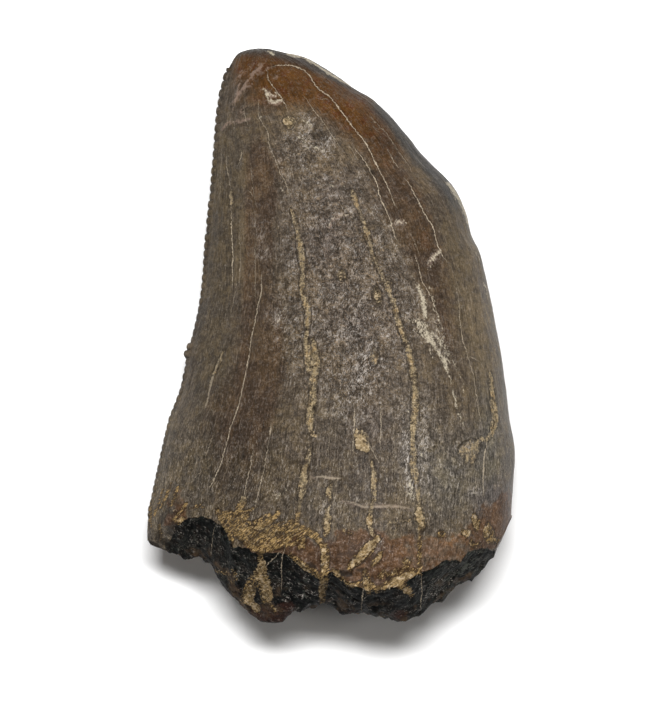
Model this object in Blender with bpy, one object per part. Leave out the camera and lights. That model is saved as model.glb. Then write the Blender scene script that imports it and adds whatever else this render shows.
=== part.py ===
"""Fossil theropod tooth crown, broken off at its base, lying on one side face.

Frame: +Z up, the tooth rests on Z = 0. The face that looks up is the face the
drawing shows. +Y runs from the broken base to the worn apex, -X is the
serrated rear edge (the distal carina) and +X is the rounded front edge.

The outline is held as control points on a front drawing: x to the right, y
down, 13.6 drawing units to the millimetre. Everything else is in millimetres
until it is placed, in metres, in Blender.
"""

import math

import bmesh
import bpy
import numpy as np
from mathutils import Matrix, Vector, noise

# ---------------------------------------------------------------- dimensions
UNITS_PER_MM = 13.6  # drawing scale
DRAWING_MID = (330.9, 335.1)  # drawing point that lies over the origin
M = 0.001  # millimetres to metres

RING_POINTS = 44  # points round one cross-section of the crown
RING_ROWS = 46  # cross-sections from below the break to the apex
REST_FLAT_DEPTH = 0.30  # how much the lowest line of the face is worn flat
FRONT_SHARE = 0.57  # share of the thickness on the upper face at the base

DENTICLE_TOP = 0.925  # stretch of the rear edge that carries denticles, as a
DENTICLE_LOW = 0.235  # fraction of the edge's length from its lower end
DENTICLE_PITCH_APEX = 0.66  # spacing near the apex
DENTICLE_PITCH_BASE = 0.50  # spacing near the base
DENTICLE_HEIGHT_APEX = 0.20
DENTICLE_HEIGHT_BASE = 0.10
DENTICLE_WIDTH = 0.95  # across the edge

# Rear edge, from below the break to the apex.
REAR_EDGE = [
    (141, 650), (143, 600), (146, 560), (147, 535), (148.5, 512), (152.5, 494),
    (161.5, 452), (169.5, 419), (181, 388), (187.5, 356), (195, 328),
    (201, 298), (206, 244), (211, 197), (214.5, 156), (218, 113),
    (222.5, 86), (228.5, 68), (236.5, 54), (246, 49.3), (254, 48),
]
# Front edge, from below the break to the apex.
FRONT_EDGE = [
    (488, 650), (500, 590), (507, 548), (512, 515), (514, 478), (514.5, 446),
    (509.5, 412), (503, 360), (497, 328), (490.5, 298), (485, 271),
    (480, 251), (471.5, 234), (466, 212), (456.5, 191), (444.5, 176.5),
    (422.5, 154), (408, 134.5), (390, 114.5), (373, 97.5), (356, 87.5),
    (341, 76.5), (325, 66.5), (304, 55.8), (284, 51), (270, 47.8), (262, 47.5),
]
# Thickness of the crown at fractions of its length from below the break.
THICKNESS_AT = (0.0, 0.18, 0.30, 0.40, 0.50, 0.60, 0.70, 0.80, 0.88, 0.94, 0.98, 1.0)
THICKNESS = (17.6, 16.8, 15.9, 14.7, 13.2, 11.6, 9.8, 7.7, 5.7, 4.0, 2.6, 1.5)

# Where the enamel of the upper face ends at the break.
UPPER_RIM = [
    (140, 536), (150, 530), (160, 524), (173, 524), (186, 515), (202, 511.5),
    (215, 520), (228, 531), (231, 546), (243, 548), (256, 556), (274, 553),
    (290, 556), (305, 566), (320, 577), (331, 572), (345, 582), (356, 588),
    (369, 591), (386, 590), (405, 585), (420, 573), (437, 567), (446, 561),
    (461, 560), (470, 549), (484, 545), (497, 541), (506, 528), (520, 500),
]
# The lowest line of the break, which is its outline from above.
BREAK_OUTLINE = [
    (140, 536), (146, 538), (151, 545), (161, 549), (169, 554), (184, 556.5),
    (199, 556.5), (211, 563), (220, 578), (229, 590), (240, 601.5),
    (253, 611), (263, 620.5), (273, 625), (283, 622), (293, 611.6),
    (306, 607.6), (322, 602.6), (336, 606), (345, 612.5), (354, 615.3),
    (362, 612.6), (372, 614.3), (386, 615), (398, 621.4), (406, 618.4),
    (421, 610), (431, 602), (442, 598), (448, 591.5), (462, 582),
    (471, 578.5), (481, 567), (493.5, 556), (498, 544), (505, 531),
    (511, 519), (520, 500),
]
# The under face ends a little higher than the outline, with its own chips.
UNDER_RIM = [
    (140, 536), (152, 541), (175, 549), (200, 548), (216, 560), (236, 585),
    (258, 600), (276, 607), (296, 600), (322, 594), (347, 600), (372, 601),
    (396, 607), (420, 597), (446, 585), (470, 568), (490, 548), (504, 529),
    (520, 500),
]


# ---------------------------------------------------------------- the surface
def to_mm(points):
    """Drawing points as millimetres in the plane of the tooth."""
    p = np.array(points, float)
    return np.stack(
        [
            (p[:, 0] - DRAWING_MID[0]) / UNITS_PER_MM,
            (DRAWING_MID[1] - p[:, 1]) / UNITS_PER_MM,
        ],
        axis=1,
    )


def smooth_path(points, steps=14):
    """A smooth curve through the points, with its length up to each point."""
    pts = [np.array(p) for p in points]
    pts = [2 * pts[0] - pts[1]] + pts + [2 * pts[-1] - pts[-2]]
    out = []
    for a, b, c, d in zip(pts, pts[1:], pts[2:], pts[3:]):
        for k in range(steps):
            t = k / steps
            out.append(
                0.5
                * (
                    2 * b
                    + (c - a) * t
                    + (2 * a - 5 * b + 4 * c - d) * t**2
                    + (3 * b - a - 3 * c + d) * t**3
                )
            )
    out.append(pts[-2])
    out = np.array(out)
    length = np.concatenate(
        [[0.0], np.cumsum(np.linalg.norm(np.diff(out, axis=0), axis=1))]
    )
    return out, length


def along(path, fraction):
    """The point at this fraction of a path's length."""
    points, length = path
    s = np.asarray(fraction, float) * length[-1]
    return np.stack(
        [np.interp(s, length, points[:, 0]), np.interp(s, length, points[:, 1])],
        axis=-1,
    )


REAR = smooth_path(to_mm(REAR_EDGE))
FRONT = smooth_path(to_mm(FRONT_EDGE))
THICK = smooth_path(list(zip(THICKNESS_AT, THICKNESS)))[0]
RIM_UP = to_mm(UPPER_RIM)
RIM_OUT = to_mm(BREAK_OUTLINE)
RIM_UNDER = to_mm(UNDER_RIM)


def thickness(v):
    return np.interp(v, THICK[:, 0], THICK[:, 1])


def swell(u, rear, front):
    """How full a face is from the rear edge, u = 0, to the front edge, u = 1: wedge-shaped at the first, round at the second."""
    peak = rear / (rear + front)
    return (np.clip(u, 0, 1) ** rear * np.clip(1 - u, 0, 1) ** front) / (
        peak**rear * (1 - peak) ** front
    )


def crown(u, v, upper):
    """A point of the crown, in millimetres: u across, v from below the break to the apex."""
    u, v = np.asarray(u, float), np.asarray(v, float)
    plan = along(REAR, v) * (1 - u)[..., None] + along(FRONT, v) * u[..., None]
    t = thickness(v)
    under = (1 - FRONT_SHARE) * t
    if upper:
        z = under + FRONT_SHARE * t * swell(u, 0.74, 0.50)
    else:
        z = under - under * swell(u, 0.62, 0.52)
    z = np.maximum(z - REST_FLAT_DEPTH, 0.0)
    return np.concatenate([plan, z[..., None]], axis=-1)


def break_surface(x, z):
    """The y of the broken base over its cross-section, in millimetres."""
    v = 0.19
    rear, front = along(REAR, v)[0], along(FRONT, v)[0]
    u = np.clip((x - rear) / (front - rear), 0.0, 1.0)
    top = crown(u, np.full_like(u, v), True)[..., 2]
    low = crown(u, np.full_like(u, v), False)[..., 2]
    depth = np.clip((top - z) / np.maximum(top - low, 0.8), -0.25, 1.25)
    up = np.interp(x, RIM_UP[:, 0], RIM_UP[:, 1])
    out = np.interp(x, RIM_OUT[:, 0], RIM_OUT[:, 1])
    under = np.interp(x, RIM_UNDER[:, 0], RIM_UNDER[:, 1])
    crest = 0.36 + 0.05 * np.sin(0.9 * x)
    falling = np.clip(depth / crest, 0.0, 1.0)
    rising = np.clip((depth - crest) / (1 - crest), 0.0, 1.0)
    y = up + (out - up) * falling**0.85
    y = y + (under - out) * rising**1.4
    beyond = np.clip(-depth, 0.0, 0.25)  # above the face: keeps the cut clean
    return y + 1.5 * beyond * (up - out)


# ---------------------------------------------------------------- modelling
def clear_scene():
    for obj in list(bpy.data.objects):
        bpy.data.objects.remove(obj, do_unlink=True)


def collection(name):
    made = bpy.data.collections.new(name)
    bpy.context.scene.collection.children.link(made)
    return made


def add_object(name, bm, into):
    bmesh.ops.recalc_face_normals(bm, faces=bm.faces)
    mesh = bpy.data.meshes.new(name)
    bm.to_mesh(mesh)
    bm.free()
    obj = bpy.data.objects.new(name, mesh)
    into.objects.link(obj)
    return obj


def enamel_material():
    material = bpy.data.materials.new("fossil_enamel")
    material.use_nodes = True
    shader = material.node_tree.nodes["Principled BSDF"]
    shader.inputs["Base Color"].default_value = (0.105, 0.078, 0.052, 1.0)
    shader.inputs["Roughness"].default_value = 0.42
    shader.inputs["Metallic"].default_value = 0.0
    material.diffuse_color = (0.105, 0.078, 0.052, 1.0)
    return material


def make_crown(into):
    """A cone primitive cut into rings, each ring then shaped to the tooth's cross-section there."""
    bm = bmesh.new()
    bmesh.ops.create_cone(
        bm,
        cap_ends=True,
        segments=RING_POINTS,
        radius1=1.0,
        radius2=0.5,
        depth=1.0,
    )
    sides = [e for e in bm.edges if abs(e.verts[0].co.z - e.verts[1].co.z) > 0.5]
    bmesh.ops.subdivide_edges(bm, edges=sides, cuts=RING_ROWS - 2, use_grid_fill=False)
    for vertex in bm.verts:
        angle = math.atan2(vertex.co.y, vertex.co.x) % (2 * math.pi)
        height = vertex.co.z + 0.5
        # Rings crowd together towards the apex, where the outline turns fast.
        v = 1 - (1 - height) ** 1.25
        u = (1 - math.cos(angle)) / 2
        # At the wedge-shaped rear edge the points are spread more evenly.
        u = 0.75 * u + 0.25 * (angle if angle <= math.pi else 2 * math.pi - angle) / math.pi
        upper = angle <= math.pi
        vertex.co = Vector(crown(np.array([u]), np.array([v]), upper)[0]) * M
    return add_object("tooth", bm, into)


def make_break_cutter(into):
    """A block that takes away everything below the break, its upper end shaped as the broken base."""
    bm = bmesh.new()
    bmesh.ops.create_cube(bm, size=1.0)
    across = [e for e in bm.edges if abs(e.verts[0].co.x - e.verts[1].co.x) > 0.5]
    bmesh.ops.subdivide_edges(bm, edges=across, cuts=35, use_grid_fill=True)
    deep = [e for e in bm.edges if abs(e.verts[0].co.z - e.verts[1].co.z) > 0.5]
    bmesh.ops.subdivide_edges(bm, edges=deep, cuts=13, use_grid_fill=True)
    for vertex in bm.verts:
        x = vertex.co.x * 31.0
        z = 8.0 + vertex.co.z * 20.0
        y = -26.0
        if vertex.co.y > 0:
            y = float(break_surface(np.array([x]), np.array([z]))[0])
            y += 0.35 * noise.noise(Vector((x * 0.55, z * 0.55, 3.7)))
        vertex.co = Vector((x, y, z)) * M
    cutter = add_object("break_cutter", bm, into)
    cutter.hide_render = True
    cutter.display_type = "WIRE"
    return cutter


def make_denticles(into):
    """Small chisels along the rear edge, each a short cone set square to the edge and sunk into the crown."""
    bm = bmesh.new()
    at = DENTICLE_TOP
    whole = REAR[1][-1]
    while at > DENTICLE_LOW:
        share = (DENTICLE_TOP - at) / (DENTICLE_TOP - DENTICLE_LOW)
        pitch = DENTICLE_PITCH_APEX + (DENTICLE_PITCH_BASE - DENTICLE_PITCH_APEX) * share
        tall = DENTICLE_HEIGHT_APEX + (DENTICLE_HEIGHT_BASE - DENTICLE_HEIGHT_APEX) * share
        x, y, z = crown(np.array([0.0]), np.array([at]), True)[0]
        ahead = along(REAR, at + 0.004) - along(REAR, at - 0.004)
        run = Vector((ahead[0], ahead[1], 0)).normalized()
        out = Vector((-run.y, run.x, 0))
        made = bmesh.ops.create_cone(
            bm,
            cap_ends=True,
            segments=8,
            radius1=0.5,
            radius2=0.28,
            depth=1.0,
        )
        turn = Matrix((run, Vector((0, 0, 1)), out)).transposed().to_4x4()
        size = Matrix.Diagonal((pitch * 0.92, DENTICLE_WIDTH, 0.75 + tall, 1.0))
        centre = Vector((x, y, z)) + out * (tall - (0.75 + tall) / 2)
        bmesh.ops.transform(
            bm,
            matrix=Matrix.Translation(centre) @ turn @ size,
            verts=made["verts"],
        )
        at -= pitch / whole
    for vertex in bm.verts:
        vertex.co *= M
    row = add_object("denticle_row", bm, into)
    row.hide_render = True
    row.display_type = "WIRE"
    return row


def boolean(obj, other, operation):
    modifier = obj.modifiers.new(operation.lower(), "BOOLEAN")
    modifier.operation = operation
    modifier.solver = "EXACT"
    modifier.object = other


def main():
    clear_scene()
    bpy.context.scene.unit_settings.system = "METRIC"
    bpy.context.scene.unit_settings.scale_length = 1.0
    parts = collection("fossil_tooth")
    cutters = collection("cutters")
    tooth = make_crown(parts)
    boolean(tooth, make_denticles(cutters), "UNION")
    boolean(tooth, make_break_cutter(cutters), "DIFFERENCE")
    tooth.data.materials.append(enamel_material())
    tooth.data.shade_smooth()
    tooth.data.set_sharp_from_angle(angle=math.radians(35))


main()
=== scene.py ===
"""Looks of a fossil theropod tooth crown: its enamel, its cracks with tan matrix
in them, its denticles and its black, broken base. It lies on a white surface
and the camera looks straight down on it.

Shape and paint are laid out on a front drawing, x to the right and y down,
13.6 drawing units to the millimetre, as in the solid model.
"""

import math

import bpy
import numpy as np
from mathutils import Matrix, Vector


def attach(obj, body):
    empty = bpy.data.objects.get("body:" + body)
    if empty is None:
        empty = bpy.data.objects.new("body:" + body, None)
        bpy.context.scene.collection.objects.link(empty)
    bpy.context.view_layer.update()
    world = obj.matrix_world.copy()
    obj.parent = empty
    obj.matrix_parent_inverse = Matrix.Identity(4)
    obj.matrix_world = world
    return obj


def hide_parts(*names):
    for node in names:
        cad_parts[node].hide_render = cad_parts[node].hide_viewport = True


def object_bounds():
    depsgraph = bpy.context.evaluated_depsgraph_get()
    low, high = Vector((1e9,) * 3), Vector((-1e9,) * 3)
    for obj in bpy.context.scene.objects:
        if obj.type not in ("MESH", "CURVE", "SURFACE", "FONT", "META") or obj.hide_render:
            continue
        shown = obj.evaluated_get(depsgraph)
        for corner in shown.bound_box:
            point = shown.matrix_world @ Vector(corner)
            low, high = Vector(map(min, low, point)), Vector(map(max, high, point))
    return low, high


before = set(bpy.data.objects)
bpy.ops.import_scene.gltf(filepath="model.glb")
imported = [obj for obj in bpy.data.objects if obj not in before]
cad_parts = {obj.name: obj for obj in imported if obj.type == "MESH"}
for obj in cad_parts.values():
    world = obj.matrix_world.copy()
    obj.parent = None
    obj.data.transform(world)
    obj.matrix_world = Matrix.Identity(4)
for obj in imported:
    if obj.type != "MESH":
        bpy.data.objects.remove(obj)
cad_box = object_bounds()

# ------------------------------------------------------------------ drawing
UNITS_PER_MM = 13.6
DRAWING_MID = (330.9, 335.1)
REST_FLAT_DEPTH = 0.30
FRONT_SHARE = 0.57
DENTICLE_TOP, DENTICLE_LOW = 0.945, 0.205
DENTICLE_PITCH_APEX, DENTICLE_PITCH_BASE = 0.66, 0.50
DENTICLE_HEIGHT_APEX, DENTICLE_HEIGHT_BASE = 0.21, 0.11

REAR_EDGE = [
    (141, 650), (143, 600), (146, 560), (147, 535), (148.5, 512), (152.5, 494),
    (161.5, 452), (169.5, 419), (181, 388), (187.5, 356), (195, 328),
    (201, 298), (206, 244), (211, 197), (214.5, 156), (218, 113),
    (222.5, 86), (228.5, 68), (236.5, 54), (246, 49.3), (254, 48),
]
FRONT_EDGE = [
    (488, 650), (500, 590), (507, 548), (512, 515), (514, 478), (514.5, 446),
    (509.5, 412), (503, 360), (497, 328), (490.5, 298), (485, 271),
    (480, 251), (471.5, 234), (466, 212), (456.5, 191), (444.5, 176.5),
    (422.5, 154), (408, 134.5), (390, 114.5), (373, 97.5), (356, 87.5),
    (341, 76.5), (325, 66.5), (304, 55.8), (284, 51), (270, 47.8), (262, 47.5),
]
THICKNESS_AT = (0.0, 0.18, 0.30, 0.40, 0.50, 0.60, 0.70, 0.80, 0.88, 0.94, 0.98, 1.0)
THICKNESS = (17.6, 16.8, 15.9, 14.7, 13.2, 11.6, 9.8, 7.7, 5.7, 4.0, 2.6, 1.5)
UPPER_RIM = [
    (140, 536), (150, 530), (160, 524), (173, 524), (186, 515), (202, 511.5),
    (215, 520), (228, 531), (231, 546), (243, 548), (256, 556), (274, 553),
    (290, 556), (305, 566), (320, 577), (331, 572), (345, 582), (356, 588),
    (369, 591), (386, 590), (405, 585), (420, 573), (437, 567), (446, 561),
    (461, 560), (470, 549), (484, 545), (497, 541), (506, 528), (520, 500),
]
BREAK_OUTLINE = [
    (140, 536), (146, 538), (151, 545), (161, 549), (169, 554), (184, 556.5),
    (199, 556.5), (211, 563), (220, 578), (229, 590), (240, 601.5),
    (253, 611), (263, 620.5), (273, 625), (283, 622), (293, 611.6),
    (306, 607.6), (322, 602.6), (336, 606), (345, 612.5), (354, 615.3),
    (362, 612.6), (372, 614.3), (386, 615), (398, 621.4), (406, 618.4),
    (421, 610), (431, 602), (442, 598), (448, 591.5), (462, 582),
    (471, 578.5), (481, 567), (493.5, 556), (498, 544), (505, 531),
    (511, 519), (520, 500),
]
UNDER_RIM = [
    (140, 536), (152, 541), (175, 549), (200, 548), (216, 560), (236, 585),
    (258, 600), (276, 607), (296, 600), (322, 594), (347, 600), (372, 601),
    (396, 607), (420, 597), (446, 585), (470, 568), (490, 548), (504, 529),
    (520, 500),
]


def to_mm(points):
    p = np.array(points, float)
    return np.stack(
        [
            (p[..., 0] - DRAWING_MID[0]) / UNITS_PER_MM,
            (DRAWING_MID[1] - p[..., 1]) / UNITS_PER_MM,
        ],
        axis=-1,
    )


def smooth_path(points, steps=14):
    pts = [np.array(p, float) for p in points]
    pts = [2 * pts[0] - pts[1]] + pts + [2 * pts[-1] - pts[-2]]
    out = []
    for a, b, c, d in zip(pts, pts[1:], pts[2:], pts[3:]):
        for k in range(steps):
            t = k / steps
            out.append(
                0.5
                * (
                    2 * b
                    + (c - a) * t
                    + (2 * a - 5 * b + 4 * c - d) * t**2
                    + (3 * b - a - 3 * c + d) * t**3
                )
            )
    out.append(pts[-2])
    out = np.array(out)
    length = np.concatenate(
        [[0.0], np.cumsum(np.linalg.norm(np.diff(out, axis=0), axis=1))]
    )
    return out, length


def along(path, fraction):
    points, length = path
    s = np.asarray(fraction, float) * length[-1]
    return np.stack(
        [np.interp(s, length, points[:, 0]), np.interp(s, length, points[:, 1])],
        axis=-1,
    )


REAR = smooth_path(to_mm(REAR_EDGE))
FRONT = smooth_path(to_mm(FRONT_EDGE))
THICK = smooth_path(list(zip(THICKNESS_AT, THICKNESS)))[0]
RIM_UP, RIM_OUT, RIM_UNDER = to_mm(UPPER_RIM), to_mm(BREAK_OUTLINE), to_mm(UNDER_RIM)


def smoothstep(a, b, x):
    t = np.clip((x - a) / (b - a), 0.0, 1.0)
    return t * t * (3 - 2 * t)


# -------------------------------------------------------------------- noise
class Noise:
    """Gradient noise from a seed, about -1 to 1."""

    def __init__(self, seed):
        rng = np.random.default_rng(seed)
        order = rng.permutation(256)
        self.order = np.concatenate([order, order, order])
        grad = rng.normal(size=(256, 3))
        self.grad = grad / np.linalg.norm(grad, axis=1)[:, None]

    def __call__(self, p):
        p = np.asarray(p, float)
        cell = np.floor(p).astype(np.int64)
        f = p - cell
        cell &= 255
        w = f * f * f * (f * (f * 6 - 15) + 10)
        total = np.zeros(len(p))
        for dx in (0, 1):
            for dy in (0, 1):
                for dz in (0, 1):
                    h = self.order[
                        self.order[self.order[cell[:, 0] + dx] + cell[:, 1] + dy]
                        + cell[:, 2]
                        + dz
                    ]
                    d = f - np.array([dx, dy, dz])
                    dot = (self.grad[h] * d).sum(axis=1)
                    wx = w[:, 0] if dx else 1 - w[:, 0]
                    wy = w[:, 1] if dy else 1 - w[:, 1]
                    wz = w[:, 2] if dz else 1 - w[:, 2]
                    total += dot * wx * wy * wz
        return total * 1.6

    def fbm(self, p, octaves=4, gain=0.5):
        p = np.asarray(p, float)
        total, size = np.zeros(len(p)), 1.0
        for k in range(octaves):
            total += size * self(p * 2.03**k + 17.3 * k)
            size *= gain
        return total

    def cells(self, p):
        """Distance to the nearest and second nearest cell point, a number for the nearest cell, and the way to its point."""
        p = np.asarray(p, float)
        base = np.floor(p).astype(np.int64)
        first = np.full(len(p), 9.0)
        second = np.full(len(p), 9.0)
        name = np.zeros(len(p), np.int64)
        way = np.zeros((len(p), 3))
        for dx in (-1, 0, 1):
            for dy in (-1, 0, 1):
                for dz in (-1, 0, 1):
                    c = base + np.array([dx, dy, dz])
                    m = c & 255
                    h = self.order[self.order[self.order[m[:, 0]] + m[:, 1]] + m[:, 2]]
                    point = c + 0.5 + 0.42 * self.grad[h]
                    d = p - point
                    r = np.linalg.norm(d, axis=1)
                    nearer = r < first
                    second = np.where(nearer, first, np.minimum(second, r))
                    name = np.where(nearer, h, name)
                    way = np.where(nearer[:, None], d, way)
                    first = np.where(nearer, r, first)
        return first, second, name, way


N1, N2, N3 = Noise(11), Noise(23), Noise(37)


# ------------------------------------------------------------------ surface
def thickness(v):
    return np.interp(v, THICK[:, 0], THICK[:, 1])


def swell(u, rear, front):
    peak = rear / (rear + front)
    return (np.clip(u, 0, 1) ** rear * np.clip(1 - u, 0, 1) ** front) / (
        peak**rear * (1 - peak) ** front
    )


def crown(u, v, upper):
    u, v = np.asarray(u, float), np.asarray(v, float)
    plan = along(REAR, v) * (1 - u)[..., None] + along(FRONT, v) * u[..., None]
    t = thickness(v)
    under = (1 - FRONT_SHARE) * t
    if upper:
        z = under + FRONT_SHARE * t * swell(u, 0.74, 0.50)
    else:
        z = under - under * swell(u, 0.62, 0.52)
    z = z - REST_FLAT_DEPTH
    z = np.where(z > 0.12, z, np.maximum((z + 0.12) ** 2 / 0.48, 0.0) * (z > -0.12))
    return np.concatenate([plan, z[..., None]], axis=-1)


def break_surface(x, z):
    """The y of the broken base over its cross-section, in millimetres."""
    v = 0.19
    rear, front = along(REAR, v)[0], along(FRONT, v)[0]
    u = np.clip((x - rear) / (front - rear), 0.0, 1.0)
    top = crown(u, np.full_like(u, v), True)[..., 2]
    low = crown(u, np.full_like(u, v), False)[..., 2]
    depth = np.clip((top - z) / np.maximum(top - low, 0.8), 0.0, 1.25)
    up = np.interp(x, RIM_UP[:, 0], RIM_UP[:, 1])
    out = np.interp(x, RIM_OUT[:, 0], RIM_OUT[:, 1])
    under = np.interp(x, RIM_UNDER[:, 0], RIM_UNDER[:, 1])
    crest = 0.33 + 0.05 * np.sin(0.9 * x)
    falling = np.clip(depth / crest, 0.0, 1.0)
    rising = np.clip((depth - crest) / (1 - crest), 0.0, 1.0)
    y = up + (out - up) * falling**0.85
    y = y + (under - out) * rising**1.4
    # Splintered steps, facets, rounded lumps and grain, kept off the two corners.
    p = np.stack([x, z, np.full_like(x, 3.7)], axis=-1)
    inside = smoothstep(0.0, 0.10, u) * smoothstep(0.0, 0.06, 1 - u)
    lump = 0.30 * N1.fbm(p * 0.45, 3) - 0.34 * np.abs(N1(p * 0.95 + 5.1)) + 0.10
    _, _, name, way = N2.cells(p * np.array([0.62, 0.42, 1.0]))
    tilt = N2.grad[name]
    facet = 0.16 * (tilt[:, 0] * way[:, 0] + tilt[:, 1] * way[:, 1]) + 0.03 * tilt[:, 2]
    _, _, name2, way2 = N3.cells(p * np.array([1.9, 1.3, 1.0]))
    tilt2 = N3.grad[name2]
    small = 0.09 * (tilt2[:, 0] * way2[:, 0] + tilt2[:, 1] * way2[:, 1]) + 0.02 * tilt2[:, 2]
    grain = 0.035 * N1.fbm(p * 3.1, 2) + 0.20 * np.abs(N2(p * 1.5 + 1.7)) + 0.10 * np.abs(N3(p * 3.0 + 0.6)) - 0.09
    edge = smoothstep(0.0, 0.12, depth) * smoothstep(0.0, 0.10, 1 - depth)
    knob = 1 - 0.75 * np.exp(-(((x + 4.2) / 1.3) ** 2))
    y = y + inside * (knob * (0.35 + 0.65 * edge) * (lump + facet) + 0.9 * knob * small + grain)
    low = -20.98
    return np.where(y < low, -21.165 + 0.185 * np.exp((y - low) / 0.185), y)


# --------------------------------------------------------------------- mesh
COLS = 208  # columns over the upper face; the under face has half as many
ROWS = 236
FINE = 8  # columns of the upper face, beside the rear edge, with three times the rows
RATIO = 3
CAP_FINE, CAP_COARSE = 46, 26


def even_columns(count, upper):
    """Values of u at even distances over the surface, part-way up the crown."""
    u = np.linspace(0, 1, 4001)
    p = crown(u, np.full_like(u, 0.32), upper)
    s = np.concatenate([[0], np.cumsum(np.linalg.norm(np.diff(p, axis=0), axis=1))])
    return np.interp(np.linspace(0, s[-1], count + 1), s, u)


def rim_of(u, upper):
    """The v at which each column meets the break."""
    low, high = np.zeros_like(u), np.full_like(u, 0.40)
    for _ in range(34):
        mid = (low + high) / 2
        p = crown(u, mid, upper)
        over = p[:, 1] > break_surface(p[:, 0], p[:, 2])
        high = np.where(over, mid, high)
        low = np.where(over, low, mid)
    return (low + high) / 2


class Build:
    def __init__(self):
        self.co, self.u, self.v, self.side, self.kind = [], [], [], [], []
        self.faces, self.block = [], []
        self.count = 0

    def add(self, co, u, v, side, kind):
        """kind 0 is enamel, 1 the break."""
        n = len(co)
        first = self.count
        self.co.append(co)
        self.u.append(np.broadcast_to(u, n).astype(float))
        self.v.append(np.broadcast_to(v, n).astype(float))
        self.side.append(np.full(n, float(side)))
        self.kind.append(np.full(n, float(kind)))
        self.count += n
        return np.arange(first, first + n)

    def quads(self, a, b, c, d, block):
        for face in zip(a, b, c, d):
            clean = [k for i, k in enumerate(face) if k != face[i - 1]]
            if len(set(clean)) > 2:
                self.faces.append(tuple(int(k) for k in clean))
                self.block.append(block)

    def tris(self, a, b, c, block):
        for face in zip(a, b, c):
            if len(set(face)) == 3:
                self.faces.append(tuple(int(k) for k in face))
                self.block.append(block)


def build_mesh():
    B = Build()
    up_u, un_u = even_columns(COLS, True), even_columns(COLS // 2, False)
    up_rim, un_rim = rim_of(up_u, True), rim_of(un_u, False)
    corner = (up_rim[0] + un_rim[0]) / 2, (up_rim[-1] + un_rim[-1]) / 2
    up_rim[0] = un_rim[0] = corner[0]
    up_rim[-1] = un_rim[-1] = corner[1]
    r_fine = np.linspace(0, 1, ROWS * RATIO + 1)
    r_coarse = r_fine[::RATIO]

    def column(u, rim, r, upper):
        v = rim + (1 - rim) * r
        p = crown(np.full_like(v, u), v, upper)
        return B.add(p, u, v, 1 if upper else -1, 0)

    up = [
        column(u, rim, r_fine if i <= FINE else r_coarse, True)
        for i, (u, rim) in enumerate(zip(up_u, up_rim))
    ]
    un = [up[0]]
    for j in range(1, COLS // 2):
        un.append(
            column(un_u[j], un_rim[j], r_fine if j <= FINE // 2 else r_coarse, False)
        )
    un.append(up[-1])

    def strip(a, b, flip, block):
        if len(a) == len(b):
            q = (a[:-1], b[:-1], b[1:], a[1:])
            if flip:
                q = q[::-1]
            B.quads(*q, block)
            return
        # fine column a beside coarse column b
        f0, f1, f2, f3 = a[0:-1:3], a[1::3], a[2::3], a[3::3]
        c0, c1 = b[:-1], b[1:]
        for tri in ((f0, c0, f1), (f1, c0, f2), (f2, c0, c1), (f2, c1, f3)):
            B.tris(*(tri[::-1] if flip else tri), block)

    for a, b in zip(up, up[1:]):
        strip(a, b, False, 0)
    for a, b in zip(un, un[1:]):
        strip(a, b, True, 1)
    # apex: one ring closed on a low point
    ring_up = np.array([c[-1] for c in up])
    ring_un = np.array([c[-1] for c in un])
    all_co = np.concatenate(B.co)
    centre = (all_co[ring_up].mean(axis=0) + all_co[ring_un].mean(axis=0)) / 2
    centre[1] += 0.06
    apex = B.add(centre[None], 0.5, 1.0, 1, 0)[0]
    B.tris(ring_up[:-1], ring_up[1:], np.full(len(ring_up) - 1, apex), 0)
    B.tris(ring_un[1:], ring_un[:-1], np.full(len(ring_un) - 1, apex), 1)
    # the break, a grid between the two rims
    rim_up = np.array([c[0] for c in up])
    rim_un = np.array([c[0] for c in un])
    a_co, b_co = all_co[rim_up], all_co[rim_un]
    rows = [rim_up]
    total = CAP_FINE + CAP_COARSE
    for k in range(1, total):
        fine = k <= CAP_FINE
        if fine:
            w = 0.46 * k / CAP_FINE
        else:
            w = 0.46 + 0.54 * (k - CAP_FINE) / CAP_COARSE
        top = a_co if fine else a_co[::2]
        if fine:
            low = np.stack(
                [
                    np.interp(np.arange(COLS + 1) / 2, np.arange(COLS // 2 + 1), b_co[:, i])
                    for i in range(3)
                ],
                axis=1,
            )
        else:
            low = b_co
        x = top[:, 0] * (1 - w) + low[:, 0] * w
        z = top[:, 2] * (1 - w) + low[:, 2] * w
        y = break_surface(x, z)
        ids = B.add(np.stack([x, y, z], axis=1), np.linspace(0, 1, len(x)), w, 0, 1)
        ids[0], ids[-1] = rim_up[0], rim_up[-1]
        rows.append(ids)
    rows.append(rim_un)
    for a, b in zip(rows, rows[1:]):
        if len(a) == len(b):
            B.quads(a[:-1], b[:-1], b[1:], a[1:], 2)
        else:
            f0, f1, f2 = a[0:-1:2], a[1::2], a[2::2]
            c0, c1 = b[:-1], b[1:]
            B.tris(f0, c0, f1, 2)
            B.tris(f1, c0, c1, 2)
            B.tris(f1, c1, f2, 2)
    return B, up, un, rows, up_rim, un_rim


B, UP, UN, CAP, UP_RIM_V, UN_RIM_V = build_mesh()
co = np.concatenate(B.co)
U, V = np.concatenate(B.u), np.concatenate(B.v)
SIDE, KIND = np.concatenate(B.side), np.concatenate(B.kind)
used = np.zeros(len(co), bool)
used[np.concatenate([np.array(f) for f in B.faces])] = True
enamel = KIND < 0.5

# distances over the surface: from the rear edge along each row, and from the rim
ACROSS = np.zeros(len(co))
ACROSS_UN = np.zeros(len(co))
FROM_RIM = np.zeros(len(co))


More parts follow.
